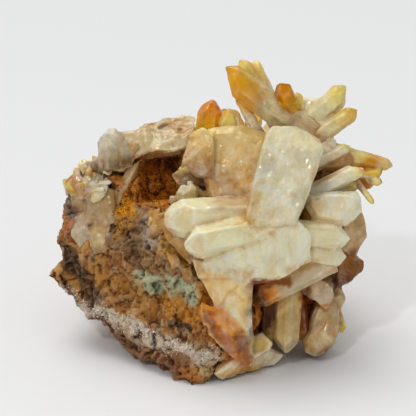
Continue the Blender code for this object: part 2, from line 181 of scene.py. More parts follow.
def crystalBetween(root, tip, width, look, flat=1.0, turn=0.0, cuts=crystalHabit["cuts"],
                   taper=crystalHabit["taper"]):
    axis = (tip - root).normalized()
    front = (-viewDeep + axis * viewDeep.dot(axis)).normalized()
    side = axis.cross(front)
    pyramid = crystalHabit["pyramid"]
    planes = [(-axis, -axis.dot(root), "root")]
    for face in range(6):
        angle = math.radians(60 * face)
        reach = crystalHabit["halfWidth"] * width * (flat if face in (0, 3) else 1.0)
        spun = Matrix.Rotation(math.radians(turn), 3, axis)
        outward = spun @ (front * math.cos(angle) + side * math.sin(angle))
        leaning = outward * math.cos(taper) + axis * math.sin(taper)
        planes.append((leaning, leaning.dot(tip - axis * width * crystalHabit["shoulder"]) + reach, "prism"))
        slope = outward * math.sin(pyramid) + axis * math.cos(pyramid)
        planes.append((slope, slope.dot(tip + axis * cuts[face] * width), "tip"))
    return solidOf(planes, root, tip, axis, look)


def crystal(root, tip, width, look="milk", **shape):
    return crystalBetween(seen(*root), seen(*tip), width, look, **shape)


def massOf(look, points, kind, grain=(0, 0, 1)):
    bm = hullOf(points)
    planes = [(face.normal[:], face.normal.dot(face.calc_center_median()), kind) for face in bm.faces]
    bm.free()
    places = np.array([p[:] for p in points])
    axis = np.array(Vector(grain).normalized())
    along = places @ axis
    return solidOf(planes, places[along.argmin()], places[along.argmax()], axis, look)


def lump(look, *points):
    return massOf(look, [seen(*p) for p in points], "broken")


def plate(look, outline, front, lean, thickness, bevel, grain=(0, 0, 1)):
    middle = Vector((sum(a for a, _ in outline), sum(u for _, u in outline))) / len(outline)
    points = []
    for across, up in outline:
        deep = front + lean * up
        inward = (middle - Vector((across, up))).normalized() * bevel
        inner = (across + inward.x, up + inward.y)
        points += [seen(across, up, deep + bevel), seen(across, up, deep + thickness - bevel)]
        points += [seen(*inner, deep), seen(*inner, deep + thickness)]
    return massOf(look, points, "plate", grain)


def slicedBy(solid, *places):
    # the solid with one more face, through three places
    points = [seen(*p) for p in places]
    normal = (points[1] - points[0]).cross(points[2] - points[0]).normalized()
    middle = Vector((solid["root"] + solid["tip"]) / 2)
    if normal.dot(middle - points[0]) > 0:
        normal = -normal
    solid["normals"] = np.vstack([solid["normals"], normal[:]])
    solid["reach"] = np.append(solid["reach"], normal.dot(points[0]))
    solid["kind"] = np.append(solid["kind"], "tip")
    return solid


def newObject(name, content):
    thing = bpy.data.objects.new(name, content)
    bpy.context.scene.collection.objects.link(thing)
    return thing


def withModifiers(thing):
    # the object with its modifiers worked into its mesh
    graph = bpy.context.evaluated_depsgraph_get()
    mesh = bpy.data.meshes.new_from_object(thing.evaluated_get(graph))
    thing.modifiers.clear()
    old, thing.data = thing.data, mesh
    bpy.data.meshes.remove(old)
    return thing


def objectOf(name, bm):
    mesh = bpy.data.meshes.new(name)
    bm.to_mesh(mesh)
    bm.free()
    return newObject(name, mesh)


def evenly(name, bm, size):
    # the bmesh as one closed object with an even grid
    thing = objectOf(name, bm)
    grid = thing.modifiers.new("grid", "REMESH")
    grid.mode, grid.voxel_size = "VOXEL", size
    return withModifiers(thing)


def rowsOf(items, name):
    flat = np.empty(len(items) * 3, np.float32)
    items.foreach_get(name, flat)
    return flat.reshape(-1, 3).astype(float)


def setPoints(mesh, points):
    mesh.vertices.foreach_set("co", points.astype(np.float32).ravel())
    mesh.update()


def setLayer(mesh, name, kind, field, values):
    layer = mesh.attributes.new(name, kind, "POINT")
    layer.data.foreach_set(field, values.astype(np.float32).ravel())


def ready(thing, node=None):
    # hands the piece to the frame, in place of its node where it has one
    if node:
        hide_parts(node)
    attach(thing, "root")
    print(thing.name, "made:", len(thing.data.vertices), "points")
    return thing


def dress(thing, tint, values, material):
    # stores the colour and the values from 0 to 1 that the material reads
    mesh = thing.data
    filled = np.concatenate([np.clip(tint, 0, 1), np.ones((len(tint), 1))], axis=1)
    setLayer(mesh, "tint", "FLOAT_COLOR", "color", filled)
    for name, value in values.items():
        setLayer(mesh, name, "FLOAT", "value", np.clip(value, 0, 1))
    mesh.materials.append(material)
    mesh.polygons.foreach_set("use_smooth", np.ones(len(mesh.polygons), bool))


def distanceTo(points, solids, rounding):
    # signed distance to the union of the solids, its direction, which solid and face it belongs to,
    # how far the face's nearest edge is, and how far the next solid is
    best = np.full(len(points), 1e9)
    outward = np.zeros((len(points), 3))
    owner = np.zeros(len(points), int)
    face = np.zeros(len(points), int)
    edge = np.zeros(len(points))
    other = best.copy()
    for index, solid in enumerate(solids):
        raw = points @ solid["normals"].T - solid["reach"]
        top = raw.max(axis=1)
        share = np.exp(np.clip((raw - top[:, None]) / rounding, -30, 0))
        whole = share.sum(axis=1)
        value = top + rounding * np.log(whole)
        closer = value < best
        other = np.where(closer, best, np.minimum(other, value))
        best[closer] = value[closer]
        second = np.partition(raw, -2, axis=1)[:, -2]
        outward[closer] = (share[closer] / whole[closer, None]) @ solid["normals"]
        owner[closer] = index
        face[closer] = raw[closer].argmax(axis=1)
        edge[closer] = (top - second)[closer]
    outward /= np.linalg.norm(outward, axis=1)[:, None] + 1e-9
    return best, outward, owner, face, edge, other


def srgb(red, green, blue):
    # a colour by its screen values, as light
    values = np.array([red, green, blue]) / 255
    return np.where(values <= 0.04045, values / 12.92, ((values + 0.055) / 1.055) ** 2.4)


def eased(share):
    share = np.clip(share, 0, 1)
    return share * share * (3 - 2 * share)


def nearPath(spots, path, half, soft):
    # 1 within half pixels of the path, falling to 0 over soft pixels
    nearest = np.full(len(spots), 1e9)
    path = [np.array(p, float) for p in path]
    for start, end in zip(path[:-1], path[1:]):
        run = end - start
        share = np.clip(((spots - start) @ run) / (run @ run), 0, 1)
        nearest = np.minimum(nearest, np.linalg.norm(spots - start - share[:, None] * run, axis=1))
    return np.clip(1 - (nearest - half) / soft, 0, 1)


# how each sort of crystal is coloured: body, tip, how far the tip's colour reaches, stain at the root,
# how far the stain reaches, how clear the crystal is, and how milky
looks = {
    "milk": ((255, 243, 204), (255, 247, 220), 5, (224, 178, 92), 6, 0.18, 1.0),
    "slab": ((248, 238, 200), (252, 244, 212), 14, (236, 204, 120), 12, 0.3, 1.0),
    "beige": ((238, 190, 98), (250, 220, 146), 9, (182, 126, 48), 16, 0.25, 0.5),
    "yellowed": ((212, 162, 70), (214, 168, 84), 6, (150, 92, 24), 6, 0.2, 0.3),
    "mango": ((255, 242, 204), (255, 214, 10), 15, (216, 178, 106), 8, 0.5, 0.5),
    "amber": ((255, 212, 20), (252, 172, 0), 9, (226, 178, 60), 7, 0.55, 0.1),
    "straw": ((255, 242, 204), (254, 228, 130), 9, (214, 158, 60), 6, 0.35, 0.4),
    "glass": ((255, 244, 218), (255, 232, 150), 7, (222, 166, 84), 5, 0.5, 0.9),
    "striated": ((255, 246, 220), (255, 236, 140), 3.5, (236, 186, 100), 4, 0.3, 1.5),
    "honeyed": ((255, 236, 170), (255, 220, 96), 12, (214, 166, 90), 6, 0.4, 0.3),
    "brown": ((190, 122, 26), (212, 146, 44), 5, (104, 50, 0), 10, 0.5, 0.1),
    "foot": ((246, 212, 144), (250, 230, 184), 9, (136, 70, 0), 9, 0.4, 0.4),
    "smoky": ((218, 176, 108), (228, 196, 138), 6, (150, 90, 20), 6, 0.35, 0.4),
    "bar": ((255, 234, 196), (255, 166, 0), 10, (236, 190, 130), 6, 0.35, 0.5),
    "lilac": ((240, 218, 184), (232, 200, 160), 6, (222, 160, 80), 5, 0.4, 0.6),
    "rusty": ((240, 184, 90), (246, 206, 130), 5, (190, 104, 10), 9, 0.15, 0.5),
    "backMilk": ((255, 240, 204), (254, 230, 176), 8, (190, 120, 30), 34, 0.3, 1.0),
    "backMango": ((255, 236, 186), (255, 194, 0), 11, (190, 120, 30), 30, 0.6, 0.4),
    "grey": ((246, 232, 202), (250, 242, 222), 7, (170, 126, 62), 6, 0.5, 0.6),
}

# fine relief of the crystal faces: heights, and the sizes over which they change
relief = {
    "grid": 0.38,          # spacing of the mesh
    "rounding": 0.1,       # how soft the edges are
    "waver": 0.04,         # slow unevenness of every face
    "waverSize": 5.0,
    "striation": 0.03,     # fine lines across the prism faces
    "lineSizes": (0.55, 1.7),
    "step": 0.07,          # growth steps
    "stepSize": 4.5,
    "broken": 0.3,         # waves on broken masses
    "brokenSizes": (5.0, 2.6),
    "chip": 0.3,           # chips along edges
    "chipSize": 1.8,
    "chipReach": 0.8,
    "rimHighlight": 0.7,            # how far the painted highlight along an edge reaches
    "jointStainAndShade": 1.6,          # how far the brown stain and painted shade reach where two crystals meet
    "facetShade": 0.07,    # how much the faces of one crystal differ
    "floor": 0.4,          # no crystal comes lower than this
}


def faceRelief(points, solids, owner, face, edge, seed):
    rise = relief["waver"] * layeredNoise(points, relief["waverSize"], seed, 3)
    for index, solid in enumerate(solids):
        mine = owner == index
        if not mine.any():
            continue
        kinds, here = solid["kind"][face[mine]], points[mine]
        along = (here - solid["root"]) @ solid["axis"]
        lines = np.stack([along, face[mine] * 9.1, np.full(len(along), index * 3.7)], axis=1)
        thin, wide = relief["lineSizes"]
        fine = smoothNoise(lines, thin, seed + 5) + 1.4 * smoothNoise(lines, wide, seed + 6)
        patchy = smoothNoise(here, 3.0, seed + 8)
        squeezed = here - along[:, None] * solid["axis"] * 0.6 + face[mine][:, None] * 5.3
        level = 1.6 * layeredNoise(squeezed, relief["stepSize"], seed + 7, 3)
        extra = relief["step"] * (np.floor(level) + eased((level - np.floor(level)) * 4))
        lined = (kinds == "prism") | (kinds == "plate")
        extra[lined] += relief["striation"] * (fine * (0.6 + 0.6 * patchy))[lined]
        broken = kinds == "broken"
        wide, thin = relief["brokenSizes"]
        cells, _ = brokenCells(here[broken], wide, seed + 9)
        waves = layeredNoise(here[broken], thin, seed + 9, 3)
        extra[broken] += relief["broken"] * (0.8 * cells + 0.5 * waves)
        rise[mine] += extra
    nicks = np.clip(layeredNoise(points, relief["chipSize"], seed + 30, 3) - 0.25, 0, 1)
    return rise - relief["chip"] * nicks * np.clip(1 - edge / relief["chipReach"], 0, 1)


# rust and dirt that lie over several crystals, by where they show:
# path, half width, softness, colour, strength
stains = [
    ([(206, 306), (222, 334), (244, 362)], 4, 9, (214, 132, 20), 0.7),
    ([(204, 296), (212, 316), (220, 326)], 1.5, 4, (236, 150, 20), 0.8),
    ([(216, 300), (228, 322), (236, 342)], 1.2, 4, (236, 158, 40), 0.75),
    ([(226, 312), (240, 330), (246, 348)], 1.2, 4, (244, 174, 60), 0.7),
    ([(214, 322), (232, 346), (246, 358)], 1.5, 4, (170, 84, 10), 0.8),
    ([(208, 314), (216, 336), (230, 352)], 1.2, 3, (140, 70, 10), 0.8),
    ([(238, 306), (246, 322)], 1, 4, (246, 190, 90), 0.6),
    ([(204, 272), (212, 284), (216, 300)], 1, 4, (232, 170, 60), 0.6),
    ([(240, 338), (246, 356)], 4, 5, (116, 56, 10), 0.8),
    ([(198, 262), (206, 290)], 3, 10, (202, 150, 62), 0.6),
    ([(158, 208), (170, 250), (192, 262)], 3, 8, (190, 134, 44), 0.6),
    ([(246, 218), (256, 200)], 2, 12, (224, 180, 84), 0.6),
    ([(190, 258), (202, 259)], 0.5, 2.5, (130, 80, 20), 0.8),
    ([(222, 306), (228, 294), (238, 288)], 0.5, 2.5, (176, 100, 20), 0.8),
    ([(232, 295), (240, 300)], 1, 3, (190, 120, 30), 0.7),
    ([(252, 286), (288, 281)], 3, 4, (176, 100, 6), 0.9),
    ([(316, 204), (318, 218)], 2, 5, (226, 186, 96), 0.7),
    ([(288, 272), (316, 264)], 2, 4, (206, 156, 70), 0.6),
    ([(318, 176), (342, 160)], 5, 8, (196, 148, 84), 0.6),
    ([(255, 300), (262, 320), (258, 340)], 8, 8, (92, 44, 4), 0.85),
    ([(306, 292), (308, 328)], 3, 5, (140, 66, 6), 0.85),
    ([(272, 222), (286, 219), (298, 222)], 3, 7, (246, 240, 220), 0.8),
    ([(262, 236), (304, 242)], 9, 12, (255, 250, 226), 0.6),
    ([(214, 284), (240, 300)], 7, 10, (252, 212, 124), 0.6),
    ([(232, 72), (248, 108)], 4, 7, (250, 178, 0), 0.7),
    ([(252, 84), (258, 98)], 3, 6, (222, 160, 40), 0.6),
    ([(197, 106), (212, 102), (220, 110)], 5, 6, (238, 154, 0), 0.7),
    ([(346, 130), (352, 112)], 3, 6, (216, 156, 30), 0.5),
    ([(362, 166), (374, 160)], 4, 5, (214, 144, 10), 0.8),
    ([(380, 162), (388, 163)], 3, 4, (230, 206, 158), 0.7),
    ([(282, 108), (332, 148)], 2, 3, (178, 120, 66), 0.5),
    ([(226, 200), (240, 196), (222, 180)], 6, 14, (160, 110, 44), 0.6),
    ([(300, 342), (318, 352), (334, 348)], 2, 5, (150, 84, 20), 0.5),
    ([(256, 344), (272, 338)], 3, 7, (250, 222, 140), 0.6),
    ([(208, 372), (222, 362), (244, 358)], 2, 6, (196, 130, 50), 0.8),
    ([(228, 374), (250, 370)], 2, 4, (204, 150, 70), 0.6),
    ([(176, 176), (206, 186)], 1.5, 3, (150, 96, 60), 0.7),
    ([(170, 190), (188, 186)], 4, 4, (255, 250, 236), 0.8),
    ([(300, 300), (326, 307)], 1.5, 2.5, (206, 120, 10), 0.85),
]
stainDepth = 12    # crystals deeper than this keep clean


def tintOf(points, solids, owner, face, seed):
    tint, lengthwise = np.zeros((2, len(points), 3))
    clear, milk = np.zeros((2, len(points)))
    wander = layeredNoise(points, 4.0, seed + 40, 3)
    for index, solid in enumerate(solids):
        mine = owner == index
        if not mine.any():
            continue
        body, tip, tipZone, stain, stainZone, howClear, howMilky = looks[solid["look"]]
        fromTip = (solid["tip"] - points[mine]) @ solid["axis"] + 1.6 * wander[mine]
        fromRoot = (points[mine] - solid["root"]) @ solid["axis"] + 2.0 * wander[mine]
        tipShare = eased(1.25 - fromTip / tipZone)[:, None]
        rootShare = eased(1 - fromRoot / stainZone)[:, None]
        colour = srgb(*body) + (srgb(*tip) - srgb(*body)) * tipShare
        colour = colour + (srgb(*stain) - colour) * rootShare
        shade = latticeValue(np.stack([face[mine], face[mine] * 3 + index, face[mine]], axis=1), seed + 2)
        tint[mine] = colour * (1 + relief["facetShade"] * shade[:, None])
        clear[mine] = howClear
        milk[mine] = howMilky * (1 - 0.95 * tipShare[:, 0])
        here = points[mine] - solid["root"]
        # places squeezed along the crystal, so that what is drawn by them runs along it
        lengthwise[mine] = here - (here @ solid["axis"])[:, None] * solid["axis"] * 0.9
    spots, deep = pixelsOf(points)
    spots = spots + 3.0 * manyNoises(2, points, 2.4, seed + 43, 4, 0.6)
    for path, half, soft, colour, strength in stains:
        share = strength * nearPath(spots, path, half, soft) * (deep < stainDepth)
        tint += (srgb(*colour) - tint) * share[:, None]
        milk *= 1 - share
        clear *= 1 - 0.5 * share
    return tint, clear, milk, lengthwise


# materials and node trees

def fill(tree, node, inputs):
    # each input takes another node's output, or a value
    for key, value in inputs.items():
        socket = node.inputs[key]
        if isinstance(value, bpy.types.NodeSocket):
            tree.links.new(value, socket)
        else:
            socket.default_value = (*value, 1) if socket.type == "RGBA" else value


def addNode(tree, kind, inputs, **settings):
    node = tree.nodes.new(kind)
    for name, value in settings.items():
        setattr(node, name, value)
    fill(tree, node, inputs)
    return node


class Finish:
    # a material, put together from small parts
    def __init__(self, name):
        self.material = bpy.data.materials.new(name)
        self.material.use_nodes = True
        self.place = self.add("ShaderNodeTexCoord", {}, "Object")

    def add(self, kind, inputs, output, **settings):
        return addNode(self.material.node_tree, kind, inputs, **settings).outputs[output]

    def stored(self, name, output="Fac"):
        return self.add("ShaderNodeAttribute", {}, output, attribute_name=name)

    def noise(self, size, detail=4, rough=0.55, warp=0.0, by=None):
        settings = {"Scale": 1 / mm / size, "Detail": detail, "Roughness": rough, "Distortion": warp}
        return self.add("ShaderNodeTexNoise", {**settings, "Vector": by or self.place}, "Fac")

    def cells(self, size, by):
        return self.add("ShaderNodeTexVoronoi", {"Scale": 1 / mm / size, "Vector": by}, "Color")

    def span(self, source, fromLow, fromHigh, toLow=0.0, toHigh=1.0):
        ends = {"From Min": fromLow, "From Max": fromHigh, "To Min": toLow, "To Max": toHigh}
        return self.add("ShaderNodeMapRange", {"Value": source, **ends}, "Result")

    def times(self, one, other):
        return self.add("ShaderNodeMath", {0: one, 1: other}, "Value", operation="MULTIPLY")

    def plus(self, one, other):
        return self.add("ShaderNodeMath", {0: one, 1: other}, "Value", operation="ADD")

    def mix(self, share, one, other, blend="MIX"):
        return self.add("ShaderNodeMix", {0: share, 6: one, 7: other}, 2, data_type="RGBA", blend_type=blend)

    def bump(self, height, strength, depth):
        settings = {"Strength": strength, "Distance": depth * mm}
        return self.add("ShaderNodeBump", {**settings, "Height": height}, "Normal")

    def done(self, inputs):
        tree = self.material.node_tree
        fill(tree, tree.nodes["Principled BSDF"], inputs)
        return self.material


# what lies in the quartz, with the painted highlight along its edges and the brown stain and painted shade
# where crystals meet: its noise by size, detail, roughness and warp, where it starts and is full, its colour
# and its share
quartz = {
    "cloud": {"noise": (8.0, 6, 0.65, 0.6), "span": (0.42, 0.66), "colour": srgb(248, 237, 198)},
    "veil": {"share": 0.28, "noise": (2.6, 6, 0.65, 1.5), "span": (0.45, 0.75), "colour": (0.88, 0.78, 0.56)},
    "dark": {"share": 0.5, "noise": (1.6, 6, 0.75, 0.5), "span": (0.48, 0.3), "colour": (0.84, 0.74, 0.5)},
    "streak": {"noise": (0.8, 4, 0.75, 0.2), "span": (0.5, 0.68), "colour": srgb(252, 245, 222)},
    "shard": {"share": 0.42, "size": 4.2, "span": (0.25, 0.75), "colour": (0.86, 0.76, 0.56)},
    # where crystals meet: a brown stain together with painted shade
    "jointStainAndShade": {"noise": (3.0, 4), "span": (0.4, 0.6, 0.1, 0.75), "colour": (0.74, 0.52, 0.26)},
    # the pale line along the edges is a painted highlight
    "rimHighlight": {"noise": (3.2, 4, 0.6), "span": (0.4, 0.62, 0.15, 1.0), "colour": srgb(255, 252, 240)},
    "rough": {"noise": (1.2, 4, 0.6), "span": (0.3, 0.7, 0.08, 0.26)},
    "grain": (0.25, 0.12),      # strength and depth of the surface's fine grain
}


def quartzMaterial(name):
    made = Finish(name)
    lengthwise = made.stored("lengthwise", "Vector")
    halfMilk = made.times(made.stored("milk"), 0.5)

    def pattern(part, by=None):
        return made.span(made.noise(*quartz[part]["noise"], by=by), *quartz[part]["span"])

    cloud = pattern("cloud")
    shard = made.span(made.cells(quartz["shard"]["size"], lengthwise), *quartz["shard"]["span"])
    # painted highlight along the edges, stronger where the crystal is milky
    rimHighlight = made.times(made.stored("rimHighlight"), made.plus(halfMilk, 0.2))
    colour = made.stored("tint", "Color")
    for part, share, source, blend in (
        ("cloud", halfMilk, cloud, "MIX"),
        ("veil", quartz["veil"]["share"], pattern("veil"), "MULTIPLY"),
        ("dark", quartz["dark"]["share"], pattern("dark", lengthwise), "MULTIPLY"),
        ("streak", halfMilk, pattern("streak", lengthwise), "MIX"),
        ("shard", quartz["shard"]["share"], shard, "MULTIPLY"),
        # darker where crystals meet: stain and painted shade
        ("jointStainAndShade", made.stored("jointStainAndShade"), pattern("jointStainAndShade"), "MULTIPLY"),
        ("rimHighlight", rimHighlight, pattern("rimHighlight"), "MIX"),
    ):
        colour = made.mix(made.times(source, share), colour, quartz[part]["colour"], blend)
    height = made.plus(made.noise(0.5, 4, 0.6, 0, lengthwise), made.noise(0.9, 4, 0.7))
    return made.done({
        "Base Color": colour, "Roughness": pattern("rough"), "IOR": 1.54, "Specular IOR Level": 0.4,
        "Specular Tint": made.mix(0.4, colour, (1, 1, 1)),
        "Transmission Weight": made.times(made.stored("clear"), made.span(cloud, 0, 1, 1.3, 0.6)),
        "Subsurface Weight": 0.45, "Subsurface Scale": 1.8 * mm, "Subsurface Radius": (1.0, 0.85, 0.5),
        "Coat Weight": 0.12, "Coat Roughness": 0.03, "Normal": made.bump(height, *quartz["grain"]),
    })


def stoneMaterial(stone):
    # base colours, then what is painted on the stone, broken up, then grain, a painted highlight on its
    # ridges and painted shade in its hollows
    made = Finish(stone["material"])
    size, ridge, painted = stone["mottle"], made.stored("ridge"), made.stored("painted")
    broad = made.span(made.noise(size, 5, 0.6, 0.4), 0.4, 0.6)
    second = made.span(made.noise(size / 2.4, 6, 0.7, 0.8), 0.5, 0.6)
    fine = made.noise(size / 7, 8, 0.8, 0.3)
    colour = made.mix(broad, srgb(*stone["one"]), srgb(*stone["two"]))
    colour = made.mix(made.times(second, stone["flecks"]), colour, srgb(*stone["fleck"]))
    broken = made.span(made.noise(1.3, 8, 0.82), 0.34, 0.66, -0.4, 0.45)
    share = made.span(made.plus(painted, broken), 0.15, 0.5)
    colour = made.mix(made.times(share, painted), colour, made.stored("tint", "Color"))
    shade = made.mix(made.span(fine, 0.34, 0.6, *stone["shade"]), (0, 0, 0), (1, 1, 1))
    colour = made.mix(1.0, colour, shade, "MULTIPLY")
    # paler on ridges as a painted highlight, darker in creases as painted shade
    high, low = made.span(ridge, 0.5, 0.9), made.span(ridge, 0.5, 0.1)
    colour = made.mix(made.times(high, stone["ridgeHighlight"]), colour, srgb(*stone["ridge"]))
    colour = made.mix(made.times(low, stone["creaseShade"]), colour, stone["crease"], "MULTIPLY")
    height = made.plus(made.noise(0.7, 6, 0.8), made.times(made.noise(2.0, 6, 0.7), 1.6))
    return made.done({
        "Base Color": colour, "Roughness": made.span(fine, 0.4, 0.6, *stone["rough"]), "IOR": 1.54,
        "Transmission Weight": stone["clear"], "Subsurface Weight": stone["inner"],
        "Subsurface Scale": 2.2 * mm, "Subsurface Radius": (1.0, 0.8, 0.5),
        "Normal": made.bump(height, *stone["bump"]),
    })


# the crystal pieces: each one's node, slot, seed, how far its faces stray from straight, and its solids
uprightPoint = {"node": "upright_mango_point", "slot": "mango_quartz", "seed": 150, "stray": 0.1, "solids": [
    crystal((-1.6, 14, 5), (1.0, 32.5, 3), 7.2, "amber", cuts=(0, 0.1, 0.25, 0.1, 0.25, 0)),
    crystal((7.6, 17, 5), (5.0, 29.6, 2.5), 6.0, "straw", flat=0.7, cuts=(0.2, 0.3, 0.3, 0, 0, -0.1)),
]}
frontCrystals = {"node": "front_crystals", "slot": "milky_quartz", "seed": 100, "stray": 0.22, "solids": [
    slicedBy(plate("slab", [(17.4, 22.6), (19.6, 24.6), (26.6, 24.6), (33.6, 20.6), (34.8, 17.4),
        (31.2, 6.4), (26.4, -5), (12, -7), (10.8, -3.4), (15.4, 12)], front=-17.2, lean=0.2, thickness=8.4,
        bevel=1.5, grain=seen(28, 24, -12) - seen(17, -6, -18)), (19, 20.6, -13.0), (33.4, 15.8, -14.0),
        (28, 26.0, -8.4)),
    plate("beige", [(-3.4, 20.2), (-2.4, 22.6), (2, 24.2), (6.4, 24.8), (12.6, 24.2), (18, 22.4), (22, 12),
        (20, -4), (2, -6), (0, 3), (-1.2, 11.6)], front=-9.6, lean=0.24, thickness=11, bevel=2.2),
    crystal((14, -2.6, -7), (-14.2, -3.4, -14), 11.6, "milk", cuts=(-0.2, 0, 0.2, 0, 0.2, 0)),
    crystal((18, -6.0, -12), (-7.2, -11.4, -18), 9.6, "milk", cuts=(0, 0.1, 0.1, 0, 0.2, 0.1)),
    lump("milk", (-5, -15, -15.5), (-4, -9, -16), (12, -4, -18), (26, -2.5, -16), (31.2, -8, -12),
        (30.8, -16, -10), (22.8, -20.8, -13.5), (13.2, -21, -16.5), (-3, -21, -15), (-2, -10, -4),
        (26, -3, -3), (28, -16, -2), (0, -24, -5), (14, -24, -4)),
    lump("milk", (-3.6, -19, -14.6), (13.4, -19, -17), (13.6, -46, -9.6), (12, -46, -10.4),
        (6.6, -35.4, -13.6), (1.8, -29.2, -14), (-1, -20, -4), (13, -20, -4), (13.4, -44, -2),
        (4, -32, -4)),
    lump("rusty", (-2.4, -28, -13), (5, -31, -14.4), (12.6, -40, -12.2), (13.5, -46.2, -10), (11, -48, -9),
        (5.4, -43.6, -12), (-1.6, -36, -12.4), (12, -40, -2), (4, -38, -4)),
    lump("yellowed", (-15.4, -2, -9), (-13, -9, -10.5), (-8.6, -14, -12), (-5.4, -17, -12.5),
        (-3, -16, -13), (-4, -9, -12), (-10, 0, -9), (-12, -4, 0), (-4, -14, -3), (-4, -4, 0)),
    lump("milk", (1.6, -50, -10), (4.2, -51.8, -9), (8.1, -50.6, -6.6), (12.6, -48.4, -2),
        (20, -46.7, 0.8), (22.4, -43.6, 1), (18, -41, -3), (13, -41.5, -9.4), (10.4, -45.6, -10.4),
        (4, -42, 0), (16, -40, 6)),
    plate("milk", [(13, -38.4), (16.2, -37.2), (19.4, -40.4), (18.2, -43), (13, -46)], front=-4.2,
        lean=0.1, thickness=4, bevel=0.5),
    plate("milk", [(13, -42), (19, -42.4), (22.8, -44), (20, -47.4), (12, -48.4)], front=-5.6, lean=-0.1,
        thickness=7, bevel=0.6),
    crystal((3, 7.2, 2), (-11, 9.9, -4), 4.4, "smoky"),
    crystal((2, 11.6, -3), (-9.2, 11.8, -6), 2.8, "glass", cuts=(0, -0.3, 0.2, 0.1, 0.3, 0)),
    lump("beige", (-5.6, 22, -2), (-2, 24.4, -4), (2, 22, -7.6), (2, 8.6, -8), (-3.6, 10.6, -7),
        (-8.4, 12.2, -6), (-4.6, 15.4, -7), (-3, 8.8, -5), (0, 12, -1), (0, 22, -1)),
    crystal((-1, 3.6, -4), (-6.4, 8.0, -6), 2.4, "glass"),
    crystal((-6.6, -2, -5), (-8.4, 6.6, -7), 6.4, "glass", cuts=(0, 0.3, 0.3, 0.1, 0, 0)),
    crystal((-5, -1, -6), (-4.6, 7.4, -8), 3.6, "glass", cuts=(0, 0.3, 0, 0.1, 0.2, 0)),
    crystal((-8, 0, -6), (-11.6, 3.6, -8.4), 3.2, "lilac"),
]}
crownCrystals = {"node": "crown_crystals", "slot": "mango_quartz", "seed": 200, "stray": 0.1, "solids": [
    crystal((32.4, 20.8, 3), (4.2, 41.0, -3), 8.8, "mango", flat=0.85, turn=12,
        cuts=(0.05, 0.22, 0.24, 0.05, -0.2, -0.22)),
    crystal((22, 24, 5), (9.6, 44.6, 3), 5.0, "straw"),
    crystal((22, 24, 6), (13.0, 43.8, 5), 5.2, "straw", cuts=(0, 0.3, 0.3, 0, 0.1, 0.1)),
    crystal((16, 21, 1), (8.8, 34, 1), 3.0, "glass"),
    crystal((27, 25, 4), (21.6, 37.6, -6), 6.0, "amber", turn=20),
    crystal((27.8, 25, 5), (26.8, 35.0, 2.5), 3.4, "straw"),
    plate("milk", [(22.8, 32.8), (25, 33.4), (33.2, 33.2), (35.4, 31), (33.4, 24), (31, 17), (25, 17),
        (24, 28)], front=2, lean=0.1, thickness=5, bevel=1),
    crystal((28, 23, 5), (42.0, 36.2, 2), 7.0, "straw", cuts=(0, -0.1, 0, 0, 0.15, 0.15)),
    crystal((29, 18.8, 2), (44.9, 29.6, 0), 5.2, "straw"),
    crystal((30, 19, 6), (38.6, 29.8, 9), 6.4, "straw"),
    crystal((28, 12, 2), (38.6, 20.6, 1), 6.4, "milk"),
]}
rightSpray = {"node": "right_spray", "slot": "clear_quartz", "seed": 300, "stray": 0.08, "solids": [
    crystal((32, 17.6, 4), (55.3, 12.7, 3), 4.0, "honeyed", cuts=(0.1, 0.15, 0.15, 0.1, 0.15, 0.15),
        taper=math.radians(4)),
    crystal((28, 11, 0), (42.9, 18.6, -1), 4.2, "striated"),
    crystal((29, 3.3, -2), (46.6, 12.3, -5), 5.0, "striated", cuts=(0, 0.2, 0.2, 0, -0.15, -0.15)),
    crystal((32, 6, 1), (46.2, 7.6, -1), 4.8, "glass"),
    crystal((38, 8.6, 4), (52.5, 10.8, 2), 3.2, "honeyed"),
    crystal((36, 11, 4), (52.5, 7.6, 1), 2.8, "glass"),
    crystal((34, 9.4, 2), (50.4, 7.4, 2.6), 4.2, "brown"),
    crystal((30, 13.6, 2), (44, 14.6, 1), 6.4, "smoky"),
    lump("straw", (31, 15, 3), (43, 13.4, 3.4), (45.4, 8.6, 3.4), (34, 3.6, 2), (38, 10, 0.6), (31, 14, 9),
        (45, 10, 8), (34, 4, 9)),
]}
needleCrystal = {"node": "needle_crystal", "slot": "clear_quartz", "seed": 250, "stray": 0.05, "solids": [
    crystal((44.4, 8.2, -1.2), (49.8, 1.1, -2.4), 1.8, "glass"),
]}
rightFace = {"node": "right_face_crystals", "slot": "milky_quartz", "seed": 350, "stray": 0.26, "solids": [
    plate("milk", [(33, 4.4), (37.6, 5.2), (44.6, 5), (46, 3.4), (46.3, -0.8), (43.4, -3.9), (41.2, -5.6),
        (36, -5), (31, -3), (29, 0), (29, 4)], front=-8, lean=0.1, thickness=11, bevel=2.2),
    lump("smoky", (41, -4, -4), (45.8, -0.8, 0), (47, -2, 0), (47.7, -5.2, 0), (47.9, -8.6, 0),
        (44.2, -14.6, 0), (40.4, -12, -4), (36, -2, 6), (40, -2, 8), (44, -12, 8), (34, -10, 2)),
    lump("brown", (39.2, -23.6, 0), (38.6, -13, -2), (44.2, -14.2, -1), (46.6, -16, 2), (46.4, -19, 2),
        (43.2, -21.8, 0), (42.2, -22.8, 3), (40, -12, 9), (36, -16, 8), (40, -22, 9)),
    crystal((24, -7.6, -6), (42.8, -9.2, -7.6), 8.4, flat=0.6, cuts=(0, 0, 0.2, 0, 0.1, 0)),
    crystal((26, -13.2, -5), (41.6, -14.6, -6), 7.2, flat=0.7),
    lump("honeyed", (28, 3.5, -3), (33.6, 3, -4), (36, -5, -3), (29, -7, -3), (31.6, -1, -7), (26, 3, 8),
        (36, 2, 8), (30, -7, 8)),
]}
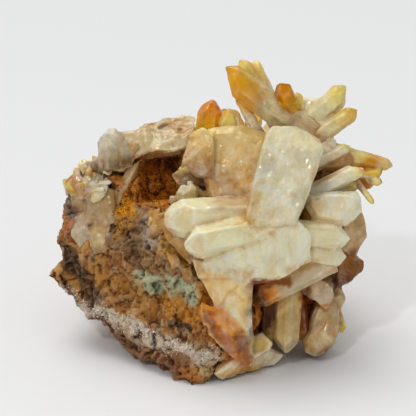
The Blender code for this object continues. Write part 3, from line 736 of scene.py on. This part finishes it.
footCrystals = {"node": "foot_crystals", "slot": "stained_quartz", "seed": 400, "stray": 0.2, "solids": [
    lump("lilac", (26.4, -24.4, -1), (32.4, -21.2, -3.6), (36.4, -22.8, -3.6), (37.2, -27.2, -3),
        (35.2, -30.4, -2.6), (31, -26.8, -3), (29, -19, 8), (38, -19, 8), (37.6, -29, 8)),
    plate("foot", [(33.4, -27.4), (37.6, -26.4), (39.2, -31), (39.4, -36), (38, -40.4), (35.2, -43.6),
        (32, -44.6), (29, -43.2), (28.2, -40.2), (30.4, -34)], front=5.5, lean=0.14, thickness=12,
        bevel=2.2),
    crystal((36.4, -22, 9), (34.6, -41.8, 1.6), 7.6, "foot", turn=20, cuts=(0.1, 0.1, 0.3, 0, 0.3, 0.2)),
    crystal((35, -18, 12), (39.4, -31, 4), 6.0, "foot"),
    crystal((38, -30, 10), (40.3, -37.6, 7), 3.6, "straw"),
    crystal((33, -30, 9), (29.8, -38, 4.4), 4.4, "brown"),
]}
hollowCrystals = {"node": "hollow_crystals", "slot": "stained_quartz", "seed": 450, "stray": 0.14, "solids": [
    crystal((37, -15.2, -4), (12.8, -28, -8.6), 7.4, "bar", flat=0.7, turn=8,
        cuts=(0, 0, 0.1, 0, 0.1, 0.1)),
    crystal((24.2, -20, 0), (23.0, -43.6, -2), 8.2, "foot", turn=12, cuts=(0.3, 0, 0.1, 0, 0.2, 0.1)),
    crystal((19, -22, 1), (17.4, -41, 1), 5.6, "brown"),
    crystal((30, -20, 3), (15, -26, 0), 7, "brown"),
    crystal((26, -24, 2), (28.6, -40, 3), 5.0, "brown"),
]}


# the hidden side: a fan of crystals from inside the rock, placed straight in the frame
def backCrystal(tip, width, look="backMilk", root=(4.8, 4.25, 40), **shape):
    return crystalBetween(Vector(root), Vector(tip), width, look, **shape)


backCrystals = {"node": "back_crystals", "slot": "milky_quartz", "seed": 500, "stray": 0.15, "solids": [
    backCrystal((21.8, 32.25, 58), 10.0),
    backCrystal((1.8, 35.25, 61), 12.0, "backMango", flat=0.7),
    backCrystal((33.8, 28.25, 45), 9.0, "backMango"),
    backCrystal((-17.2, 34.25, 54), 9.0),
    backCrystal((11.8, 39.25, 46), 12.0, flat=0.8, turn=20),
    backCrystal((26.8, 35.25, 36), 7.5),
    backCrystal((-7.2, 37.25, 42), 8.0, root=(4.8, 4.25, 38)),
    backCrystal((37.8, 18.25, 28), 8.0, root=(8.8, 4.25, 34)),
    backCrystal((12.4, 35.4, 60), 5.2, "backMango"),
    backCrystal((-7.6, 34.6, 56), 5.6, turn=30),
    backCrystal((2.4, 38.0, 50), 5.0, turn=15),
    backCrystal((19.6, 37.6, 41), 4.6),
    backCrystal((29.0, 32.4, 51), 4.8, "backMango", turn=20),
    backCrystal((6.0, 37.6, 37), 4.8, turn=40),
    backCrystal((-14.6, 36.2, 44), 4.6),
    backCrystal((-22.6, 30.0, 48), 4.8, turn=25),
    backCrystal((34.4, 26.0, 34), 4.6, root=(8.8, 4.25, 34)),
    backCrystal((33.6, 27.6, 22), 4.4, root=(8.8, 4.25, 34), turn=20),
]}


# small crystals seated where they are seen on the rock or its rind
def seatedAt(spot):
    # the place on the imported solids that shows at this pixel
    across, up = (spot[0] - view["middle"]) * view["pixel"], (view["middle"] - spot[1]) * view["pixel"]
    start, end = seen(across, up, -60), seen(across, up, 60)
    way = (end - start).normalized()
    nearest = 75.0
    for node in ("host_rock", "quartz_rind"):
        hit, place, *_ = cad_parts[node].ray_cast(start * mm, way)
        if hit:
            nearest = min(nearest, (place / mm - start).length)
    return across, up, (start + way * nearest - view["centre"]).dot(viewDeep)


def seated(root, tip, width, look, lift=0.0, sink=1.2, **shape):
    foot, head = seatedAt(root), seatedAt(tip)
    deep = min(head[2], foot[2] + 3) - lift
    return crystal((foot[0], foot[1], foot[2] + sink), (head[0], head[1], deep), width, look, **shape)


def lumpSeated(spots, middle, lift, look):
    points = []
    for spot in spots:
        across, up, deep = seatedAt(spot)
        points += [(across, up, deep - 0.2), (across, up, deep + 4)]
    across, up, deep = seatedAt(middle)
    points += [(across, up, deep - lift), (across + 1.5, up + 1, deep - lift)]
    return lump(look, *points)


shoulderCrystals = {"slot": "rind_quartz", "seed": 700, "stray": 0.25, "solids": [
    seated((114, 168), (111, 131), 8.8, "grey", 1.6, 2.5, cuts=(0.1, 0.3, 0.3, 0.1, 0.2, 0.3), turn=10),
    seated((122, 166), (122, 140), 6.0, "grey", 0.6, 2, turn=25, cuts=(0.1, 0.3, 0.3, 0.1, 0.2, 0.3)),
    lumpSeated([(86, 190), (100, 186), (114, 190), (115, 222), (98, 230), (86, 222)], (100, 203), 1.5,
        "smoky"),
    lumpSeated([(92, 224), (110, 226), (108, 252), (94, 254), (88, 238)], (100, 236), 1.1, "smoky"),
    lumpSeated([(74, 216), (86, 212), (90, 236), (80, 248), (72, 236)], (81, 228), 1.1, "lilac"),
    lumpSeated([(70, 192), (84, 194), (84, 212), (72, 212)], (77, 202), 0.8, "smoky"),
    lumpSeated([(116, 208), (110, 196), (128, 168), (140, 160), (136, 176)], (124, 184), 0.5, "smoky"),
    seated((87, 174), (82, 158), 3.4, "milk", 0.5, 2),
    seated((95, 173), (97, 159), 3.2, "grey", 0.6, 2),
    seated((80, 178), (75, 167), 3.0, "milk", 0.3, 2),
    seated((101, 172), (105, 161), 3.2, "grey", 0.4, 2),
    seated((90, 176), (90, 166), 2.6, "milk", 1.1),
    seated((87, 184), (112, 182), 1.8, "milk", 0.9, turn=30),
    seated((85, 191), (105, 189), 1.6, "milk", 0.7, turn=30),
    lumpSeated([(62, 180), (72, 178), (76, 190), (66, 196)], (68, 186), 0.8, "honeyed"),
    lumpSeated([(74, 182), (88, 182), (86, 192), (76, 192)], (81, 187), 0.7, "honeyed"),
    lumpSeated([(126, 140), (140, 146), (130, 160), (120, 162)], (130, 150), 0.7, "smoky"),
    seated((150, 226), (153, 216), 2.0, "milk", 0.2),
    lumpSeated([(166, 252), (178, 254), (184, 272), (172, 270)], (174, 262), 0.8, "yellowed"),
    lumpSeated([(178, 268), (192, 266), (194, 284), (184, 284)], (187, 275), 0.8, "yellowed"),
    lumpSeated([(148, 212), (160, 208), (164, 232), (152, 238)], (156, 222), 0.7, "yellowed"),
]}


def crystalPiece(piece, name, materialName):
    # all the piece's crystals as one mesh, laid closely on their exact faces and given their fine relief
    bm = bmesh.new()
    for solid in piece["solids"]:
        part = hullOf(cornersOf(solid["normals"], solid["reach"]))
        mesh = bpy.data.meshes.new("part")
        part.to_mesh(mesh)
        part.free()
        bm.from_mesh(mesh)
        bpy.data.meshes.remove(mesh)
    thing, seed = evenly(name, bm, relief["grid"]), piece["seed"]
    points = rowsOf(thing.data.vertices, "co")
    for _ in range(2):
        strayed = points + piece["stray"] * manyNoises(3, points, 5.5, seed + 80, 3, 0.4)
        distance, outward, owner, face, edge, other = distanceTo(
            strayed, piece["solids"], relief["rounding"])
        points = points - outward * np.clip(distance, -0.6, 0.6)[:, None]
    points = points + outward * faceRelief(points, piece["solids"], owner, face, edge, seed)[:, None]
    tint, clear, milk, lengthwise = tintOf(points, piece["solids"], owner, face, seed)
    points[:, 2] = np.maximum(points[:, 2], relief["floor"])
    setPoints(thing.data, points * mm)
    # near an edge the painted highlight is strong
    values = {"clear": clear, "milk": milk, "rimHighlight": 1 - edge / relief["rimHighlight"]}
    # near a second crystal: brown stain and painted shade
    values["jointStainAndShade"] = 1 - (other - distance) / relief["jointStainAndShade"]
    dress(thing, tint, values, quartzMaterial(materialName))
    setLayer(thing.data, "lengthwise", "FLOAT_VECTOR", "vector", lengthwise * mm)
    ready(thing, piece.get("node"))


crystalPieces = [frontCrystals, uprightPoint, crownCrystals, needleCrystal, rightSpray, rightFace,
                 footCrystals, hollowCrystals, backCrystals]
for piece in crystalPieces:
    crystalPiece(piece, piece["node"] + "_look", piece["node"] + "_quartz")
crystalPiece(shoulderCrystals, "shoulder_crystals", "shoulder_quartz")
allCrystals = [solid for piece in crystalPieces for solid in piece["solids"]]


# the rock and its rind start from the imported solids

def bodyFrom(node, size):
    bm = bmesh.new()
    bm.from_mesh(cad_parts[node].data)
    bmesh.ops.remove_doubles(bm, verts=bm.verts, dist=0.002 * mm)
    bmesh.ops.scale(bm, vec=(1000, 1000, 1000), verts=bm.verts)
    thing = evenly(node + "_look", bm, size)
    return thing, rowsOf(thing.data.vertices, "co"), rowsOf(thing.data.vertex_normals, "vector")


def hugCrystals(points, reach, sink):
    # closes the fitting gap: points beside a crystal sink into it a little
    distance, outward, *_ = distanceTo(points, allCrystals, 0.05)
    near = distance < reach
    points[near] -= outward[near] * (distance[near] + sink)[:, None]


def ridgeOf(mesh, points, rounds=3):
    # how far each point stands out from those around it: 0.5 on the level, 1 on a ridge, 0 in a crease
    ends = np.empty(len(mesh.edges) * 2, np.int32)
    mesh.edges.foreach_get("vertices", ends)
    one, two = ends[0::2], ends[1::2]
    count = np.bincount(ends, minlength=len(points))[:, None]
    mean = points
    for _ in range(rounds):
        total = np.zeros_like(points)
        for axis in range(3):
            total[:, axis] = np.bincount(one, mean[two, axis], len(points))
            total[:, axis] += np.bincount(two, mean[one, axis], len(points))
        mean = total / np.maximum(count, 1)
    return 0.5 + 0.9 * ((points - mean) * rowsOf(mesh.vertex_normals, "vector")).sum(axis=1)


def painted(points, spots, strokes, seed, reach):
    # colours laid on by strokes as they show in the view, with ragged edges
    rough = manyNoises(2, points, 6, seed, 5, 0.6)
    tint = np.full((len(points), 3), 0.3)
    share = np.zeros(len(points))
    for path, half, soft, ragged, colour, strength in strokes:
        here = strength * nearPath(spots + ragged * rough, path, half, soft) * reach
        tint += (srgb(*colour) - tint) * (here / np.maximum(here + share * (1 - here), 1e-6))[:, None]
        share = here + share * (1 - here)
    return tint, share


def settled(thing, points, node, over=0.0):
    # sets the worked points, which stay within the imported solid's box or a little over it
    low, high = (np.array(c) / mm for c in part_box(node))
    points = np.clip(points, low - over, high + over)
    setPoints(thing.data, points * mm)
    return points


rock = {
    "grid": 0.56, "seed": 900,
    # heights and depths of the relief, and how far it may go
    "lumps": 0.6, "cells": 1.05, "small": 0.24, "grain": 0.22, "pit": 1.2, "crack": 0.4,
    "lowest": -2.6, "highest": 0.5,
    # its finish; the ridge colour and its share are a painted highlight on ridges, the crease colour and its
    # share painted shade in creases
    "material": "ironStainedRock", "mottle": 10.0, "one": (156, 98, 40), "two": (212, 156, 78),
    "fleck": (206, 184, 146), "flecks": 0.6, "ridge": (206, 176, 136), "ridgeHighlight": 0.4,
    "crease": (0.2, 0.12, 0.07), "creaseShade": 0.75, "shade": (0.34, 1.5), "rough": (0.5, 0.9),
    "inner": 0.0, "clear": 0.0, "bump": (0.9, 0.4),
    # ochre and pale crust on the back
    "behind": (((206, 132, 34), 1, -0.35), ((222, 210, 200), -1, -0.45)),
    # where grains lie: path as it shows, half width and softness in pixels
    "vug": ([(146, 176), (172, 182)], 24, 4),
    "ochre": ([(118, 200), (122, 222)], 8, 5),
    "crust": ([(62, 288), (90, 309), (130, 326), (165, 344), (215, 357)], 4, 7),
    # path as it shows, half width, softness and raggedness in pixels, colour, strength
    "strokes": [
        ([(50, 290), (80, 325), (120, 350), (180, 380)], 14, 10, 6, (120, 74, 44), 0.8),
        ([(120, 235), (150, 262), (190, 280)], 12, 12, 8, (126, 94, 58), 0.6),
        ([(62, 288), (90, 309), (130, 326), (165, 344), (215, 357)], 3, 7, 6, (230, 218, 200), 0.75),
        ([(143, 283), (168, 286), (190, 294)], 8, 5, 4, (194, 200, 164), 1.0),
        ([(163, 276), (168, 292)], 0.4, 2.5, 2, (190, 110, 30), 0.8),
        ([(120, 198), (122, 222)], 8, 6, 6, (250, 176, 30), 0.95),
        ([(122, 226), (140, 242)], 8, 8, 6, (138, 108, 76), 0.7),
        ([(142, 222), (150, 236)], 4, 6, 6, (206, 190, 172), 0.7),
        ([(165, 306), (205, 322)], 9, 9, 9, (210, 140, 34), 0.85),
        ([(98, 268), (132, 294)], 8, 8, 9, (198, 140, 58), 0.8),
        ([(206, 294), (211, 325)], 6, 7, 5, (232, 162, 34), 0.85),
        ([(198, 326), (225, 346), (246, 364)], 4, 6, 5, (164, 90, 18), 0.8),
        ([(100, 192), (101, 222)], 9, 6, 4, (200, 166, 112), 0.8),
        ([(78, 224), (98, 232)], 7, 7, 5, (198, 188, 182), 0.7),
        ([(66, 212), (70, 236)], 5, 6, 4, (180, 104, 30), 0.8),
        ([(70, 194), (72, 214)], 4, 5, 4, (110, 104, 104), 0.8),
        ([(43, 268), (53, 280)], 5, 5, 3, (188, 112, 46), 0.8),
        ([(62, 240), (64, 256)], 5, 6, 5, (140, 84, 44), 0.8),
        ([(68, 256), (80, 272)], 5, 5, 3, (74, 42, 22), 0.9),
        ([(85, 283), (95, 298)], 5, 6, 4, (84, 46, 24), 0.8),
        ([(152, 333), (155, 350)], 0.6, 2.5, 2, (40, 24, 14), 0.9),
        ([(172, 323), (186, 326)], 2.5, 3, 3, (44, 24, 12), 0.9),
        ([(160, 210), (170, 232), (184, 258)], 6, 8, 6, (210, 160, 66), 0.8),
        ([(184, 374), (196, 380)], 4, 5, 3, (196, 116, 28), 0.8),
        ([(210, 370), (240, 374)], 4, 6, 4, (206, 182, 128), 0.7),
        ([(142, 176), (172, 184)], 24, 10, 4, (206, 124, 0), 0.95),
        # darker brown under the hollow's upper rim: painted shade where the rind overhangs it
        ([(160, 160), (186, 166)], 5, 8, 4, (120, 60, 8), 0.8),
        ([(113, 198), (126, 180), (140, 160)], 2.5, 4, 1, (204, 132, 84), 0.9),
        ([(255, 300), (330, 300)], 26, 20, 4, (232, 136, 14), 0.95),
    ],
}


def hostRock():
    thing, points, normals = bodyFrom("host_rock", rock["grid"])
    seed = rock["seed"]
    warped = points + 1.2 * manyNoises(3, points, 4, seed + 60, 3)
    chunks, border = brokenCells(warped, 4.6, seed + 1)
    small, _ = brokenCells(warped, 1.9, seed + 12)
    move = rock["lumps"] * layeredNoise(points, 5.5, seed, 4, 0.55) + rock["cells"] * chunks
    move = move + rock["small"] * small + rock["grain"] * layeredNoise(points, 1.3, seed + 2, 3, 0.7)
    pits = np.clip(layeredNoise(points, 2.4, seed + 3, 3) - 0.35, 0, 1)
    move = move - rock["pit"] * pits - rock["crack"] * np.clip(1 - border / 0.1, 0, 1) - 0.3
    move = np.clip(move, rock["lowest"], rock["highest"])
    spots, deep = pixelsOf(points)
    front = np.clip((normals @ -np.array(viewDeep) + 0.25) / 0.3, 0, 1)
    tint, share = painted(points, spots, rock["strokes"], seed + 20, front)
    behind = np.clip(layeredNoise(points, 14, seed + 9, 4), -1, 1)
    for colour, sign, start in rock["behind"]:
        here = np.clip((sign * behind + start) * 3, 0, 0.85) * (1 - front)
        tint += (srgb(*colour) - tint) * here[:, None]
        share = np.maximum(share, here)
    points = points + normals * move[:, None]
    hugCrystals(points, 0.75, 0.25)
    points[:, 2] = np.maximum(points[:, 2], 0)
    points = settled(thing, points, "host_rock")
    ragged = spots + 5 * manyNoises(2, points, 6, seed + 30)
    broken = np.clip(0.45 + 2.0 * layeredNoise(points, 4, seed + 33, 3), 0, 1)
    dress(thing, tint, {
        "painted": share,
        "vug": nearPath(ragged, *rock["vug"]) * front * (deep > -6),
        "ochre": nearPath(ragged, *rock["ochre"]) * front,
        "crust": nearPath(ragged, *rock["crust"]) * front * broken,
        "ridge": ridgeOf(thing.data, points),
    }, stoneMaterial(rock))
    return ready(thing, "host_rock")


rind = {
    "grid": 0.42, "seed": 1300,
    "waves": 0.5, "cells": 0.22, "grain": 0.03, "crack": 0.15,
    "lowest": -1.6, "highest": 0.7,
    # its finish; the ridge colour and its share are a painted highlight on ridges, the crease colour and its
    # share painted shade in creases
    "material": "wavyQuartzRind", "mottle": 9.0, "one": (250, 230, 184), "two": (246, 218, 160),
    "fleck": (232, 216, 186), "flecks": 0.25, "ridge": (248, 242, 226), "ridgeHighlight": 0.25,
    "crease": (0.5, 0.34, 0.2), "creaseShade": 0.3, "shade": (0.95, 1.03), "rough": (0.06, 0.3),
    "inner": 0.7, "clear": 0.3, "bump": (0.12, 0.12),
    "druse": ([(80, 160), (98, 174)], 9, 5),
    "strokes": [
        ([(112, 136), (113, 160)], 9, 4, 2, (190, 178, 150), 0.9),
        ([(128, 150), (160, 128), (196, 140)], 12, 10, 3, (222, 202, 160), 0.8),
        ([(150, 120), (154, 122)], 2, 3, 2, (206, 132, 40), 0.8),
        ([(160, 127), (167, 124), (180, 129)], 0.5, 2, 1.5, (110, 74, 40), 0.8),
        ([(176, 124), (190, 132)], 3, 6, 4, (214, 160, 80), 0.6),
        ([(78, 160), (100, 172)], 8, 6, 4, (196, 178, 146), 0.8),
        ([(82, 173), (83, 175)], 1.5, 2, 1, (60, 40, 26), 0.9),
        ([(62, 178), (72, 190)], 5, 5, 4, (206, 132, 50), 0.8),
        ([(74, 182), (88, 190)], 4, 5, 4, (212, 160, 116), 0.8),
        # two near-white lines along the flat plates: painted glints
        ([(88, 183), (112, 182)], 1, 2, 1, (250, 244, 230), 0.9),
        ([(86, 190), (104, 190)], 1, 2, 1, (236, 220, 196), 0.7),
        ([(130, 160), (150, 156), (188, 158)], 1.5, 3, 2, (196, 130, 60), 0.7),
    ],
}


def quartzRind():
    thing, points, normals = bodyFrom("quartz_rind", rind["grid"])
    seed = rind["seed"]
    warped = points + 0.8 * manyNoises(3, points, 3, seed + 60, 3)
    chunks, border = brokenCells(warped, 4.4, seed + 2)
    move = rind["waves"] * layeredNoise(points * (1, 1, 1.8), 6.0, seed, 4, 0.5) + rind["cells"] * chunks
    move = move + rind["grain"] * layeredNoise(points, 1.1, seed + 3, 3, 0.6)
    move = np.clip(move - rind["crack"] * np.clip(1 - border / 0.08, 0, 1), rind["lowest"], rind["highest"])
    spots, _ = pixelsOf(points)
    tint, share = painted(points, spots, rind["strokes"], seed + 20, 1.0)
    points = points + normals * move[:, None]
    hugCrystals(points, 0.6, 0.2)
    points = settled(thing, points, "quartz_rind", 0.2)
    druse, ridge = nearPath(spots, *rind["druse"]), ridgeOf(thing.data, points)
    dress(thing, tint, {"painted": share, "druse": druse, "ridge": ridge}, stoneMaterial(rind))
    return ready(thing, "quartz_rind")


rockLook = hostRock()
rindLook = quartzRind()


# grains and small crystal points that lie scattered over a surface
def scatterNodes():
    tree = bpy.data.node_groups.new("scattered", "GeometryNodeTree")
    kinds = {
        "Geometry": "Geometry", "Where": "String", "Crowd": "Float", "Shape": "Object", "Smallest": "Vector",
        "Largest": "Vector", "Lean": "Vector", "Seed": "Int", "Finish": "Material",
    }

    def socketOf(name, way, kind):
        return tree.interface.new_socket(name=name, in_out=way, socket_type="NodeSocket" + kind).identifier

    sockets = {name: socketOf(name, "INPUT", kind) for name, kind in kinds.items()}
    socketOf("Geometry", "OUTPUT", "Geometry")

    def add(kind, inputs, output, **settings):
        return addNode(tree, kind, inputs, **settings).outputs[output]

    given = tree.nodes.new("NodeGroupInput").outputs
    where = add("GeometryNodeInputNamedAttribute", {"Name": given["Where"]}, "Attribute", data_type="FLOAT")
    crowd = add("ShaderNodeMath", {0: where, 1: given["Crowd"]}, 0, operation="MULTIPLY")
    spots = addNode(tree, "GeometryNodeDistributePointsOnFaces", {
        "Mesh": given["Geometry"], "Density": crowd, "Seed": given["Seed"],
    }).outputs
    size = add("FunctionNodeRandomValue", {
        "Min": given["Smallest"], "Max": given["Largest"], "Seed": given["Seed"],
    }, "Value", data_type="FLOAT_VECTOR")
    back = add("ShaderNodeVectorMath", {0: given["Lean"], "Scale": -1.0}, 0, operation="SCALE")
    lean = add("FunctionNodeRandomValue", {"Min": back, "Max": given["Lean"]}, "Value",
               data_type="FLOAT_VECTOR")
    turned = add("FunctionNodeRotateRotation", {
        "Rotation": spots["Rotation"], "Rotate By": lean,
    }, "Rotation", rotation_space="LOCAL")
    shape = add("GeometryNodeObjectInfo", {"Object": given["Shape"]}, "Geometry")
    placed = add("GeometryNodeInstanceOnPoints", {
        "Points": spots["Points"], "Instance": shape, "Rotation": turned, "Scale": size,
    }, "Instances")
    whole = add("GeometryNodeRealizeInstances", {"Geometry": placed}, "Geometry")
    finish = add("GeometryNodeSetMaterial", {"Geometry": whole, "Material": given["Finish"]}, "Geometry")
    addNode(tree, "NodeGroupOutput", {"Geometry": finish})
    return tree, sockets


scatterTree, scatterSockets = scatterNodes()


def shapeOf(name, points):
    # a small closed shape, one metre across, to be scaled down where it is placed
    return objectOf(name, hullOf([Vector(p) for p in points]))


def grainShape(corners=11):
    points = []
    for k in range(corners):
        height = 1 - 2 * (k + 0.5) / corners
        ring = math.sqrt(1 - height * height)
        swell = 0.5 * (0.8 + 0.2 * math.sin(k * 5.1))
        points.append((swell * ring * math.cos(2.4 * k), swell * ring * math.sin(2.4 * k), swell * height))
    return shapeOf("grain", points)


def pointShape():
    ring = [(math.cos(math.radians(60 * k)), math.sin(math.radians(60 * k))) for k in range(6)]
    points = [(wide * x, wide * y, height) for wide, height in ((0.3, -0.3), (0.28, 0.5)) for x, y in ring]
    return shapeOf("crystalPoint", points + [(0.03, 0, 0.95)])


def grainMaterial(name, one, two, rough):
    made = Finish(name)
    colour = made.mix(made.span(made.noise(1.6, 3, 0.7), 0.42, 0.58), srgb(*one), srgb(*two))
    return made.done({"Base Color": colour, "Roughness": rough, "IOR": 1.5})


grain, crystalPoint = grainShape(), pointShape()
anyWay = (3.14, 3.14, 3.14)

# what lies scattered: its ground, where on it, shape, crowd for a square metre, smallest and largest in
# millimetres, lean, slot, and its finish by name, two colours and roughness
scatters = {
    "vug_grains": (rockLook, "vug", grain, 1.6e6, (0.5, 0.5, 0.5), (1.1, 1.1, 0.9), anyWay, "host_rock",
                   ("rustGrains", (112, 62, 0), (226, 150, 20), 0.7)),
    "ochre_grains": (rockLook, "ochre", grain, 2.6e6, (0.3, 0.3, 0.3), (0.8, 0.8, 0.7), anyWay, "host_rock",
                     ("ochreGrains", (84, 44, 8), (246, 172, 36), 0.7)),
    "crust_grains": (rockLook, "crust", grain, 3.0e6, (0.2, 0.2, 0.2), (0.65, 0.65, 0.6), anyWay,
                     "host_rock", ("paleGrains", (222, 204, 178), (255, 253, 248), 0.7)),
    "druse_points": (rindLook, "druse", crystalPoint, 0.26e6, (0.8, 0.8, 1.0), (2.2, 2.2, 2.0),
                     (0.5, 0.5, 3.1), "rind_quartz", ("drusePoints", (214, 176, 116), (244, 226, 186), 0.12)),
}


def scattered(name, seed, ground, where, shape, crowd, smallest, largest, lean, slotName, finish):
    thing = newObject(name, ground.data.copy())
    thing.data.name = name
    modifier = thing.modifiers.new("scattered", "NODES")
    modifier.node_group = scatterTree
    for socket, value in {
        "Where": where, "Crowd": crowd, "Shape": shape, "Lean": lean, "Seed": seed,
        "Smallest": [size * mm for size in smallest], "Largest": [size * mm for size in largest],
        "Finish": grainMaterial(*finish),
    }.items():
        modifier[scatterSockets[socket]] = value
    withModifiers(thing)
    points = rowsOf(thing.data.vertices, "co")
    points[:, 2] = np.maximum(points[:, 2], 0)
    setPoints(thing.data, points)
    ready(thing)


for seed, (name, parts) in enumerate(scatters.items(), start=1):
    scattered(name, seed, *parts)
for shape in (grain, crystalPoint):
    bpy.data.objects.remove(shape)


# floor, light and camera
stageSet = {
    "floorSize": 6.0, "floor": (0.80, 0.80, 0.805), "floorRough": 0.6,
    "sky": (0.97, 0.985, 1.0), "skyStrength": 0.49,
    "sun": 1.12, "sunAngle": math.radians(40), "sunColour": (1.0, 0.985, 0.96),
    "sunPlace": (-0.22, 0.32, 0.9),
    "spark": 1.1, "sparkSize": 0.06, "sparkPlace": (-0.3, -0.55, 0.7), "sparkTarget": (0, 0, 0.04),
    "sensor": 36, "farthest": 20,
}


def lamp(name, kind, place, target, **settings):
    thing = newObject(name, bpy.data.lights.new(name, kind))
    for setting, value in settings.items():
        setattr(thing.data, setting, value)
    thing.location = place
    thing.rotation_euler = (Vector(target) - thing.location).to_track_quat("-Z", "Y").to_euler()


def stage():
    bpy.ops.mesh.primitive_plane_add(size=stageSet["floorSize"])
    floor = bpy.context.object
    floor.name = "floor"
    finish = {"Base Color": stageSet["floor"], "Roughness": stageSet["floorRough"]}
    floor.data.materials.append(Finish("paleFloor").done(finish))
    scene, world = bpy.context.scene, bpy.data.worlds.new("softLight")
    world.use_nodes = True
    tree = world.node_tree
    fill(tree, tree.nodes["Background"], {"Color": stageSet["sky"], "Strength": stageSet["skyStrength"]})
    scene.world = world
    lamp("sun", "SUN", stageSet["sunPlace"], (0, 0, 0), energy=stageSet["sun"], angle=stageSet["sunAngle"],
         color=stageSet["sunColour"])
    lamp("spark", "AREA", stageSet["sparkPlace"], stageSet["sparkTarget"], energy=stageSet["spark"],
         size=stageSet["sparkSize"])
    scene.view_settings.view_transform = "Standard"
    scene.view_settings.look = "Medium High Contrast"
    camera = newObject("camera", bpy.data.cameras.new("camera"))
    camera.data.lens, camera.data.sensor_width = view["lens"], stageSet["sensor"]
    camera.data.clip_end = stageSet["farthest"]
    camera.location = (view["centre"] - viewDeep * view["distance"]) * mm
    camera.rotation_euler = viewDeep.to_track_quat("-Z", "Y").to_euler()
    scene.camera = camera


stage()
print("stage set")
